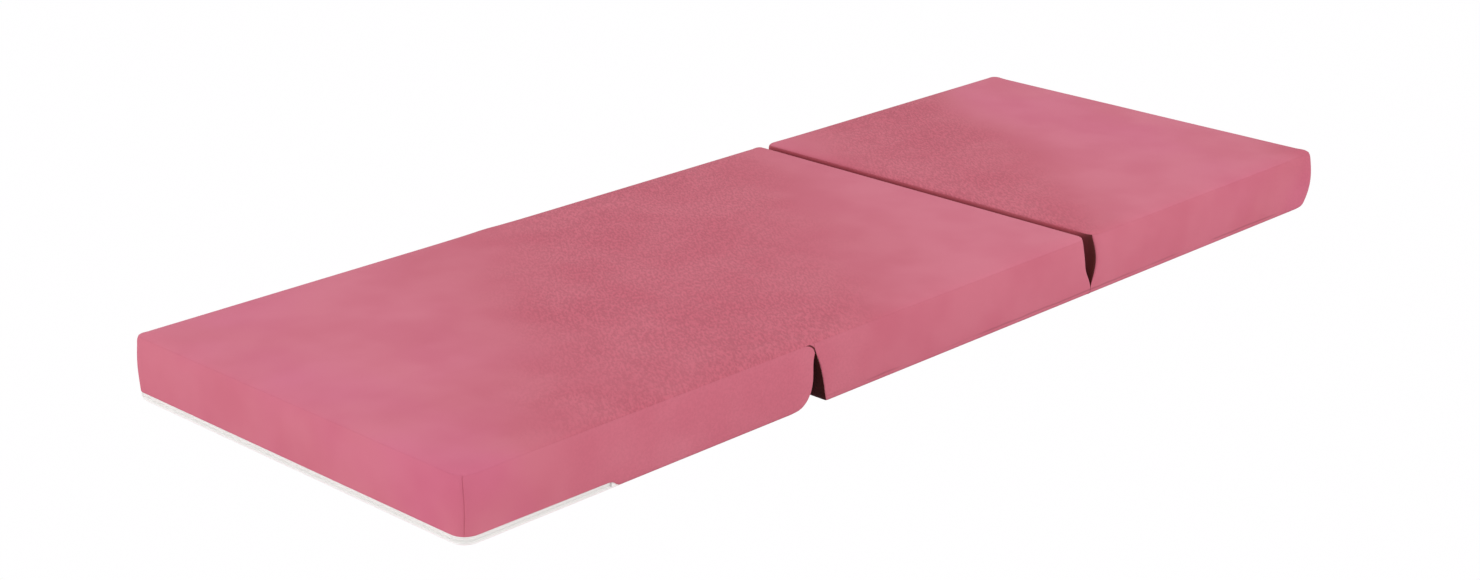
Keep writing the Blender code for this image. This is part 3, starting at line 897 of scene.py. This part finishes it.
# The rose of each cloth with its pile flat, with its pile up, and where it is pinker
top_roses = (linear(207, 115, 134), linear(196, 102, 118), linear(207, 108, 138))
side_roses = (linear(204, 112, 130), linear(201, 109, 126), linear(205, 105, 134))
calm_roses = (linear(201, 109, 127), linear(198, 106, 123), linear(202, 102, 131))
# The fold walls: the same cloth as the borders, painted darker as shade
shaded_fold_roses = (linear(178, 84, 96), linear(172, 80, 92), linear(178, 82, 96))
# Painted shade at the near ends of the slit's wall and the wedge's wall
slit_shade = linear(74, 28, 26)
wedge_shade = linear(52, 10, 9)

velour_top = velour("velour_top", top_roses, stroke_depth=0.22, bump_height=0.0014)
velour_top_head = velour(
    "velour_top_head", top_roses, stroke_depth=0.22, bump_height=0.0014, zone=(0.38, 0.94),
)
velour_side_foot = velour("velour_side_foot", side_roses, crease_shaded=True)
velour_side = velour("velour_side", calm_roses, seam_shade_depth=0.22)
velour_fold = velour("velour_fold", shaded_fold_roses, stroke_depth=0.08)
velour_fold_slit = velour("velour_fold_slit", shaded_fold_roses, stroke_depth=0.08, end_shade=slit_shade)
velour_fold_wedge = velour(
    "velour_fold_wedge", shaded_fold_roses, stroke_depth=0.08, end_shade=wedge_shade, shade_reach=(0.285, 0.32),
)


# TOP COVER OVER THE FOOT AND MIDDLE SECTIONS
# One piece of velour lies over both foam blocks and is the upper fold's hinge: the
# photograph shows no line across the top there.

top_edge_reach = 0.06
top_sink = 0.0007
top_wave = 0.0006
top_wave_scale = 6.0
top_ripple = 0.00025
top_ripple_scales = (22.0, 15.0)


def rough(along, across, layer):
    """Smooth noise between about -1 and 1 at a place in one of its layers."""
    return noise.noise(Vector((along, across, layer)))


def soft_top(place):
    """Gentle unevenness of a taut top, none by the edges."""
    edge = min(half_width - abs(place.y), top_edge_reach) / top_edge_reach
    wave = rough(place.x * top_wave_scale, place.y * top_wave_scale, 0.3)
    ripple = rough(place.x * top_ripple_scales[0], place.y * top_ripple_scales[1], 4.1)
    return edge * (top_wave * wave + top_ripple * ripple - top_sink)


shape = take_panels((("foot", True, top), ("middle", True, top)), weld=True)
main_cover = finish_cloth(
    "foot_middle_top_cover", shape, soft_top, velour_top,
    ("foot_top_panel", "middle_top_panel"),
)
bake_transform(main_cover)


# TOP COVER OF THE HEAD SECTION
# A panel of its own, because the lower fold opens at the top between it and the middle.

shape = take_panels((("head", True, top),))
head_cover = finish_cloth(
    "head_top_cover", shape, soft_top, velour_top_head, ("head_top_panel",)
)
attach(head_cover, "head")


# SIDE BORDERS, END BORDERS AND THE WALLS INSIDE THE FOLDS
# Sewn strips round each foam block, smoother than the top, puckered a little where they
# are sewn to the bottom. The walls inside the folds are the same cloth, painted darker as shade.

wall_below_cover = 0.003
gather_height = 0.009
gather_depth = 0.0009
gather_scales = (42.0, 18.0)
gather_patch_scale = 4.0
side_wave = 0.0004
side_wave_scales = (9.0, 14.0)
side_sink = 0.0003
side_edge_reach = 0.02
crease_depth = 0.0012
crease_half_width = 0.002


def crease_at(place):
    """How far a place lies in the curved crease by the upper fold: 1 on its line."""
    if place.x > foot_hinge_x or place.z < crease_foot or place.x < foot_hinge_x - crease_radius:
        return 0.0
    up = (place.z - crease_foot) * crease_radius / crease_height
    bend = math.hypot(place.x - foot_hinge_x + crease_radius, up)
    return math.exp(-((bend - crease_radius) / crease_half_width) ** 2)


def soft_side(place):
    """Small gathers just above the bottom seam, and a faint unevenness above."""
    along = place.x + place.y
    low = math.exp(-((place.z - gather_height) / gather_height) ** 2)
    gather = rough(along * gather_scales[0], place.z * gather_scales[1], 2.0)
    patchy = 0.5 + 0.5 * rough(along * gather_patch_scale, 7.0, 1.0)
    wave = rough(along * side_wave_scales[0], place.z * side_wave_scales[1], 5.0)
    edge = min(place.z, top_height - place.z, side_edge_reach) / side_edge_reach
    raised = gather_depth * low * gather * patchy + side_wave * edge * wave
    return raised - side_sink * edge - crease_depth * crease_at(place)


for name, panel, node, material, slot in (
    ("foot", near, "foot_near_border", velour_side_foot, "velour_side"),
    ("foot", far, "foot_far_border", velour_side_foot, "velour_side"),
    ("foot", foot, "foot_end_border", velour_side_foot, "velour_side"),
    ("foot", head, "foot_joint_wall", velour_fold, "velour_fold"),
    ("middle", near, "middle_near_border", velour_side, "velour_side"),
    ("middle", far, "middle_far_border", velour_side, "velour_side"),
    ("middle", foot, "middle_foot_side_wall", velour_fold_wedge, "velour_fold"),
    ("middle", head, "middle_head_side_wall", velour_fold, "velour_fold"),
    ("head", near, "head_near_border", velour_side, "velour_side"),
    ("head", far, "head_far_border", velour_side, "velour_side"),
    ("head", head, "head_end_border", velour_side, "velour_side"),
    ("head", foot, "head_joint_wall", velour_fold_slit, "velour_fold"),
):
    shape = take_panels(((name, True, panel),))
    if sections[name]["sides"][panel]["upper"] == 0.0:
        for vert in shape.verts:
            vert.co.z *= 1.0 - wall_below_cover / top_height
    border = finish_cloth(node + "_cloth", shape, soft_side, material, (node,))
    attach(border, name)


# BOTTOM COVERS
# Flat velour on the floor. The middle's and the head's are one piece, the lower fold's
# hinge; the foot's is on its own, because the upper fold opens at the bottom.


def flat(place):
    """A bottom lies as even as the floor under it."""
    return 0.0


shape = take_panels((("foot", False, bottom),))
foot_bottom = finish_cloth(
    "foot_bottom_cover", shape, flat, velour_side_foot, ("foot_bottom_panel",)
)
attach(foot_bottom, "foot")

shape = take_panels((("middle", False, bottom), ("head", False, bottom)), weld=True)
main_bottom = finish_cloth(
    "middle_head_bottom_cover", shape, flat, velour_side,
    ("middle_bottom_panel", "head_bottom_panel"),
)
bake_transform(main_bottom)


# FOAM CORES
# A block of cream open-cell foam in each section, a little smaller than its cover all
# round. They stay unseen inside it, and show only if the cover is taken off.

foam_depth = 0.004
foam_cells_a_metre = 700.0
foam_relief = 0.0006


def add_ramp(tree, value, *stops):
    """A colour that follows a value; each stop is a value and its colour."""
    node = tree.nodes.new("ShaderNodeValToRGB")
    for element, (position, colour) in zip(node.color_ramp.elements, stops):
        element.position = position
        element.color = colour
    tree.links.new(value, node.inputs["Fac"])
    return node.outputs["Color"]


def foam_material():
    """Cream foam, with shade painted darker in the middle of each open cell."""
    material, tree, shader = new_material("foam_cream", {"Roughness": 0.95})
    cells = tree.nodes.new("ShaderNodeTexVoronoi")
    set_sockets(cells, {"Scale": foam_cells_a_metre})
    tree.links.new(own_place(tree), cells.inputs["Vector"])
    hollow = cells.outputs["Distance"]
    # Painted shade: the cream is darker in the hollow middle of each cell
    cream_with_pore_shade = add_ramp(tree, hollow, (0.0, linear(205, 192, 158)), (0.6, linear(240, 231, 203)))
    tree.links.new(cream_with_pore_shade, shader.inputs["Base Color"])
    add_bump(tree, shader, hollow, strength=0.6, distance=foam_relief)
    return material


foam = foam_material()
for name, section in sections.items():
    block = forms[name, False][0].copy()
    middle = Vector((0.5 * (section["low_x"] + section["high_x"]), 0.0, 0.5 * top_height))
    spans = (section["high_x"] - section["low_x"], 2.0 * half_width, top_height)
    shares = [1.0 - 2.0 * foam_depth / span for span in spans]
    bmesh.ops.translate(block, vec=-middle, verts=block.verts)
    bmesh.ops.scale(block, vec=shares, verts=block.verts)
    bmesh.ops.translate(block, vec=middle, verts=block.verts)
    core = add_shape(name + "_foam_block", block)
    core.data.shade_smooth()
    core.data.materials.append(foam)
    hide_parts(name + "_foam_core")
    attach(core, name)


# ZIP TAPES AND COILS
# Ivory woven tape sewn behind the cover's lower edge, with a nylon coil along its middle.
# The foot's zip runs round its end; the others are straight, on the far side.

tape_depth = 0.0018
tape_thickness = 0.0007
tape_cell = 0.004
lower_tape = (0.0009, 0.00645)
upper_tape = (0.00655, 0.0215)
zip_height = 0.0065
tooth_pitch = 0.00125
tooth_size = (0.0008, 0.00095, 0.0027)
tooth_bevel = 0.00022
tooth_reach = 0.00075
tooth_depth = 0.0010
cord_radius = 0.00045
cord_offset = 0.00195
small_step = 0.0005
tape_sharp_angle = math.radians(35.0)
hard_sharp_angle = math.radians(40.0)


def zip_point(name, run, height, depth):
    """A point behind a wall's cloth. The foot's run is measured from the middle of its end."""
    section = sections[name]
    insets = [inset(side, height) + depth for side in section["sides"]]
    y = half_width - insets[far]
    if name != "foot":
        return Vector((run, y, height))
    way = -1.0 if run > 0.0 else 1.0
    corner = near_foot if run > 0.0 else far_foot
    centre_insets = [inset(side, zip_height) for side in section["sides"]]
    true_radius = corner_radii(section, centre_insets, zip_height)[corner]
    straight = half_width - centre_insets[far] - true_radius
    quarter = true_radius * math.pi / 2.0
    radius = corner_radii(section, insets, height)[corner]
    low_x = section["low_x"] + insets[foot]
    distance = abs(run)
    if distance <= straight:
        return Vector((low_x, way * distance * (y - radius) / straight, height))
    if distance <= straight + quarter:
        angle = (distance - straight) / true_radius
        x = low_x + radius - radius * math.cos(angle)
        return Vector((x, way * (y - radius + radius * math.sin(angle)), height))
    return Vector((low_x + radius + distance - straight - quarter, way * y, height))


def zip_frame(name, run, height, depth):
    """Axes at a point of the zip: along it, outwards and up."""
    centre = zip_point(name, run, height, depth)
    onwards = zip_point(name, run + small_step, height, depth)
    onwards -= zip_point(name, run - small_step, height, depth)
    up = zip_point(name, run, height + small_step, depth)
    up -= zip_point(name, run, height - small_step, depth)
    out = up.cross(onwards).normalized()
    if out.dot(zip_point(name, run, height, depth - small_step) - centre) < 0.0:
        out = -out
    along = out.cross(up).normalized()
    axes = Matrix((along, out, along.cross(out))).transposed().to_4x4()
    axes.translation = centre
    return axes


def run_at(x, corner):
    """Run of the foot's zip at a place on a straight side, past one of its corners."""
    section = sections["foot"]
    insets = [inset(side, zip_height) for side in section["sides"]]
    radius = corner_radii(section, insets, zip_height)[corner]
    low_x = section["low_x"] + insets[foot]
    run = half_width - insets[far] - radius + radius * math.pi / 2.0 + x - low_x - radius
    return run if corner == near_foot else -run


# Ribs a metre, drawn out in height; the stitch lines' heights, and how a line fades out
tape_ribs = 1500.0
coil_ribs = 2400.0
rib_detail = 2.0
rib_stretch = (1.0, 1.0, 4.0)
rib_relief = 0.0003
lower_stitch_height = 0.0031
upper_stitch_height = 0.0100
stitch_span = (0.0002, 0.0005)
stitch_strength = 0.75
stitch_grey = linear(214, 210, 206)


def woven_white(name, low, high, line_height, rib_scale):
    """White woven tape: fine crosswise ribs, and a stitch line at a height."""
    material, tree, shader = new_material(name, {"Roughness": 0.8, "Specular IOR Level": 0.2})
    place = own_place(tree)
    ribs = add_noise(tree, place, rib_scale, rib_detail, rib_stretch)
    cloth = add_ramp(tree, ribs, (0.35, low), (0.6, high))
    beside = add_math(tree, "SUBTRACT", split_place(tree, place)["Z"], line_height)
    beside = add_math(tree, "ABSOLUTE", beside)
    line = add_range(tree, beside, *stitch_span, stitch_strength, 0.0, "LINEAR")
    tree.links.new(add_mix(tree, line, cloth, stitch_grey), shader.inputs["Base Color"])
    add_bump(tree, shader, ribs, strength=0.5, distance=rib_relief)
    return material


tape_whites = (linear(249, 247, 245), linear(255, 254, 253))
coil_whites = (linear(246, 244, 241), linear(255, 254, 252))
lower_white = woven_white("zip_tape_lower", *tape_whites, lower_stitch_height, tape_ribs)
upper_white = woven_white("zip_tape_upper", *tape_whites, upper_stitch_height, tape_ribs)
coil_white = woven_white("zip_coil_nylon", *coil_whites, 0.0, coil_ribs)


def make_tape(name, level, start, end, heights, material):
    """A strip of tape behind the cover, as a grid of cells moved onto the zip's run."""
    cells = max(int((end - start) / tape_cell), 2)
    strip = bmesh.new()
    bmesh.ops.create_grid(strip, x_segments=cells, y_segments=4, size=0.5)
    for vert in strip.verts:
        run = start + (vert.co.x + 0.5) * (end - start)
        height = heights[0] + (vert.co.y + 0.5) * (heights[1] - heights[0])
        vert.co = zip_point(name, run, height, tape_depth)
    strip.normal_update()
    strip.faces.ensure_lookup_table()
    inwards = zip_point(name, start, heights[0], tape_depth + small_step)
    inwards -= zip_point(name, start, heights[0], tape_depth)
    if strip.faces[0].normal.dot(inwards) > 0.0:
        bmesh.ops.reverse_faces(strip, faces=strip.faces)
    tape = add_shape(name + "_" + level + "_tape", strip)
    thick = tape.modifiers.new("thickness", "SOLIDIFY")
    thick.thickness = tape_thickness
    thick.offset = -1.0
    bake(tape)
    tape.data.shade_smooth()
    tape.data.set_sharp_from_angle(angle=tape_sharp_angle)
    tape.data.materials.append(material)
    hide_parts(name + "_zip_" + level + "_tape")
    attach(tape, name)


def curve_mesh(path):
    """The solid mesh of a bevelled curve, which is removed."""
    holder = add_object("curve_holder", path)
    bpy.context.view_layer.update()
    mesh = bpy.data.meshes.new_from_object(holder.evaluated_get(bpy.context.evaluated_depsgraph_get()))
    bpy.data.objects.remove(holder)
    bpy.data.curves.remove(path)
    return mesh


def tooth_shape():
    """One tooth of the chain: a small block with bevelled edges."""
    tooth = bmesh.new()
    bmesh.ops.create_cube(tooth, size=1.0)
    for vert in tooth.verts:
        vert.co = Vector([value * size for value, size in zip(vert.co, tooth_size)])
    bmesh.ops.bevel(
        tooth, geom=tooth.edges[:], offset=tooth_bevel, segments=1, profile=0.5, affect="EDGES", material=-1
    )
    mesh = bpy.data.meshes.new("tooth")
    tooth.to_mesh(mesh)
    tooth.free()
    return mesh


def cord_shape(name, start, end, height):
    """One of the two cords that the teeth are sewn down over."""
    path = bpy.data.curves.new("cord_path", "CURVE")
    path.dimensions = "3D"
    path.bevel_depth = cord_radius
    path.bevel_resolution = 1
    path.use_fill_caps = True
    spline = path.splines.new("POLY")
    stations = max(int((end - start) / tape_cell), 2)
    spline.points.add(stations)
    for index, point in enumerate(spline.points):
        run = start + (end - start) * index / stations
        point.co = (*zip_point(name, run, height, tooth_depth), 1.0)
    return curve_mesh(path)


def make_coil(name, start, end):
    """Teeth of both chains, turn about, with the two cords that they are sewn down over."""
    tooth = tooth_shape()
    chain = bmesh.new()
    for index in range(int((end - start) / tooth_pitch)):
        run = start + (index + 0.5) * tooth_pitch
        side_step = tooth_reach if index % 2 else -tooth_reach
        before = len(chain.verts)
        chain.from_mesh(tooth)
        chain.verts.ensure_lookup_table()
        place = zip_frame(name, run, zip_height + side_step, tooth_depth)
        bmesh.ops.transform(chain, matrix=place, verts=chain.verts[before:])
    bpy.data.meshes.remove(tooth)
    for step in (-cord_offset, cord_offset):
        cord = cord_shape(name, start, end, zip_height + step)
        chain.from_mesh(cord)
        bpy.data.meshes.remove(cord)
    coil = add_shape(name + "_zip_teeth", chain)
    coil.data.shade_smooth()
    coil.data.set_sharp_from_angle(angle=hard_sharp_angle)
    coil.data.materials.append(coil_white)
    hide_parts(name + "_zip_coil")
    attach(coil, name)


for name in sections:
    coil_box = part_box(name + "_zip_coil")
    tape_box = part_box(name + "_zip_upper_tape")
    coil_ends = (coil_box[0][0], coil_box[1][0])
    tape_ends = (tape_box[0][0], tape_box[1][0])
    if name == "foot":
        coil_ends = (run_at(coil_ends[1], far_foot), run_at(coil_ends[1], near_foot))
        tape_ends = (run_at(tape_ends[1], far_foot), run_at(tape_ends[1], near_foot))
    tape_ends = (tape_ends[0] - hem_ramp, tape_ends[1] + hem_ramp)
    make_tape(name, "lower", *tape_ends, lower_tape, lower_white)
    make_tape(name, "upper", *tape_ends, upper_tape, upper_white)
    make_coil(name, *coil_ends)


# ZIP STOPS, SLIDERS AND PULLS
# Nickel-plated die-cast parts: a clip pinched over each end of the chain, a shield-shaped
# slider with a bridge on its face, and a pull tab that hangs in the bridge by its eye.

# The clip over each end of the chain
stop_half_width = 0.00235
stop_wire = 0.0003
stop_half_length = 0.001
stop_outer = -0.00045
stop_inner = -0.0012

# The slider's plate with its turned-in flanges, and the bridge on it
plate_inner = -0.0002
plate_outer = 0.0006
flange_inner = 0.0025
flange_outer = 0.0033
flange_tip = -0.0014
slider_length = 0.0098
shield_waist = 0.00055
shield_bevel = 0.0002
shield_sharp_angle = math.radians(50.0)
bridge_half_length = 0.0021
bridge_top = 0.00245
bridge_wire = 0.00035
bridge_half_width = 0.0006

# The pull tab, measured from the axis that it swings on
pull_lift = 0.0007
pull_half_width = 0.0024
pull_waist = 0.8 * pull_half_width
pull_grip_end = 0.0217
pull_crossbar = 0.00035
eye_end = 0.0048
eye_half_width = 0.001275
window_start = 0.0092
window_end = 0.0203
window_half_width = 0.0014
pull_rim = 0.0001
rim_half_thickness = 0.0004
web_half_thickness = 0.0002

# Points closer than this are one point
touching = 0.00001

# The metal's brushed grain, and the roughness between its rubbed and its dull places
grain_noise = (9000.0, 2.0)
grain_stretch = (1.0 / 0.3, 1.0, 1.0)
grain_relief = 0.00003
rubbed_noise = (420.0, 2.0)
roughness_span = (0.24, 0.42)


def nickel():
    """Satin nickel: softly brushed along the run, a little duller where hands rub it."""
    material, tree, shader = new_material("zip_nickel", {"Metallic": 1.0})
    place = own_place(tree)
    grain = add_noise(tree, place, *grain_noise, grain_stretch)
    rubbed = add_noise(tree, place, *rubbed_noise)
    dull = add_range(tree, rubbed, 0.0, 1.0, *roughness_span, "LINEAR")
    tree.links.new(dull, shader.inputs["Roughness"])
    tone = add_ramp(tree, grain, (0.3, linear(205, 204, 202)), (0.7, linear(219, 219, 218)))
    tree.links.new(tone, shader.inputs["Base Color"])
    add_bump(tree, shader, grain, strength=0.1, distance=grain_relief)
    return material


zip_nickel = nickel()


def bent_strip(outlines, wire_radius, half_depth, closed=False, rounded=True):
    """A flat strip bent in a plane, or a plate with holes where outlines are closed."""
    path = bpy.data.curves.new("strip_path", "CURVE")
    path.dimensions = "2D" if closed else "3D"
    path.fill_mode = "BOTH" if closed else "FULL"
    path.use_fill_caps = not closed
    path.twist_mode = "Z_UP"
    path.bevel_depth = wire_radius
    path.bevel_resolution = 2
    path.extrude = half_depth
    path.resolution_u = 6
    for outline in outlines:
        spline = path.splines.new("BEZIER")
        spline.bezier_points.add(len(outline) - 1)
        for knot, place in zip(spline.bezier_points, outline):
            knot.co = (*place, 0.0)
            knot.handle_left_type = knot.handle_right_type = "AUTO" if rounded else "VECTOR"
        spline.use_cyclic_u = closed
    mesh = curve_mesh(path)
    strip = bmesh.new()
    strip.from_mesh(mesh)
    bmesh.ops.remove_doubles(strip, verts=strip.verts, dist=touching)
    bmesh.ops.recalc_face_normals(strip, faces=strip.faces)
    bpy.data.meshes.remove(mesh)
    return strip


def add_hardware(piece_name, parts, axes, node, body):
    """Joins closed shapes made in the zip's axes into one nickel piece at its place."""
    for part in parts:
        bmesh.ops.transform(part, matrix=axes, verts=part.verts)
    piece = add_shape(piece_name, join_shapes(parts))
    piece.data.shade_smooth()
    piece.data.set_sharp_from_angle(angle=hard_sharp_angle)
    piece.data.materials.append(zip_nickel)
    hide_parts(node)
    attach(piece, body)


def make_stop(axes, piece_name, node, body):
    """A strip pinched round the chain's end, legs inwards."""
    legs = (
        (-stop_half_width, stop_inner), (-stop_half_width, stop_outer),
        (stop_half_width, stop_outer), (stop_half_width, stop_inner),
    )
    strip = bent_strip((legs,), stop_wire, stop_half_length, rounded=False)
    upright = Matrix.Rotation(math.radians(90.0), 4, "Y")
    bmesh.ops.transform(strip, matrix=upright, verts=strip.verts)
    add_hardware(piece_name, (strip,), axes, node, body)


def shield_width(along):
    """How wide the slider is along its run: broad shoulders at its mouth, then narrower."""
    share = 0.5 + along / slider_length
    return -shield_waist * (1.0 - share) ** 2


def make_shield():
    """The slider's plate, with a flange turned in along each edge."""
    shield = bmesh.new()
    bmesh.ops.create_grid(shield, x_segments=8, y_segments=3, size=0.5)
    rows = (-flange_outer, -flange_inner, flange_inner, flange_outer)
    for vert in shield.verts:
        row = rows[round((vert.co.y + 0.5) * 3)]
        vert.co = (vert.co.x * slider_length, plate_inner, row)
        if abs(row) == flange_outer:
            vert.co.z += math.copysign(shield_width(vert.co.x), row)
    base = shield.faces[:]
    bmesh.ops.recalc_face_normals(shield, faces=base)
    bmesh.ops.solidify(shield, geom=base, thickness=plate_inner - plate_outer)
    shield.normal_update()
    rims = []
    for face in shield.faces:
        centre = face.calc_center_median()
        if abs(centre.y - plate_inner) < touching and abs(centre.z) > flange_inner:
            rims.append(face)
    grown = bmesh.ops.extrude_face_region(shield, geom=rims)
    moved = [item for item in grown["geom"] if isinstance(item, bmesh.types.BMVert)]
    bmesh.ops.translate(shield, vec=(0.0, flange_tip - plate_inner, 0.0), verts=moved)
    bmesh.ops.delete(shield, geom=rims, context="FACES")
    bmesh.ops.recalc_face_normals(shield, faces=shield.faces)
    sharp = [edge for edge in shield.edges if edge.calc_face_angle(0.0) > shield_sharp_angle]
    bmesh.ops.bevel(
        shield, geom=sharp, offset=shield_bevel, segments=3, profile=0.5, affect="EDGES", material=-1
    )
    return shield


def make_bridge():
    """An arch along the slider's run; its feet stand in the plate."""
    foot_level = plate_inner + bridge_wire
    shoulder_level = bridge_top - 2.5 * bridge_wire
    arch = (
        (-bridge_half_length, foot_level), (-bridge_half_length, shoulder_level), (0.0, bridge_top),
        (bridge_half_length, shoulder_level), (bridge_half_length, foot_level),
    )
    return bent_strip((arch,), bridge_wire, bridge_half_width)


def both_sides(half):
    """Closes half an outline with its own mirror image, back along the pull tab."""
    return half + tuple((x, -y) for x, y in reversed(half) if y)


def make_pull():
    """The pull tab: a rim with an eye and a window, and a thinner web in the window."""
    outline = both_sides((
        (pull_crossbar, 0.7 * pull_waist), (-0.2 * eye_end, pull_waist), (-eye_end, pull_waist),
        (-window_start, 0.9 * pull_waist), (-0.6 * pull_grip_end, pull_half_width),
        (-0.93 * pull_grip_end, 0.95 * pull_half_width), (-pull_grip_end, 0.5 * pull_half_width),
    ))
    eye = both_sides((
        (-2.0 * pull_crossbar, 0.0), (-0.25 * eye_end, eye_half_width),
        (-0.75 * eye_end, eye_half_width), (-eye_end, 0.0),
    ))
    window = both_sides((
        (-window_start, 0.0), (-1.1 * window_start, 0.8 * window_half_width),
        (-0.93 * window_end, window_half_width), (-window_end, 0.0),
    ))
    rim = bent_strip((outline, eye, window), pull_rim, rim_half_thickness - pull_rim, closed=True)
    web_outline = [(x * 1.01, y * 1.1) for x, y in window]
    web = bent_strip((web_outline,), 0.5 * pull_rim, web_half_thickness - 0.5 * pull_rim, closed=True)
    return rim, web


def axes_of(name, node):
    """The zip's axes at the middle of one of its metal parts, which the frame places."""
    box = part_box(node)
    run = 0.5 * (box[0][0] + box[1][0])
    if name == "foot":
        run = run_at(run, far_foot if box[0][1] > 0.0 else near_foot)
    return zip_frame(name, run, zip_height, 0.0)


swing_axis = Matrix.Translation((0.0, plate_outer + pull_lift, 0.0))
swing_axis @= Matrix.Rotation(math.radians(90.0), 4, "X")
for name, stops in (
    ("foot", ("far_stop", "near_stop")),
    ("middle", ("head_side_stop", "foot_side_stop")),
    ("head", ("head_side_stop", "foot_side_stop")),
):
    for stop in stops:
        node = name + "_zip_" + stop
        make_stop(axes_of(name, node), node + "_clip", node, name)
    node = name + "_zip_slider"
    axes = axes_of(name, node)
    add_hardware(name + "_slider_body", (make_shield(), make_bridge()), axes, node, name + "_slider")
    add_hardware(name + "_pull_tab", make_pull(), axes @ swing_axis, name + "_zip_pull", name + "_pull")


# FINISH
# The forms were only patterns for the cover and the foam, and are freed.

for shape, panel_of in forms.values():
    shape.free()
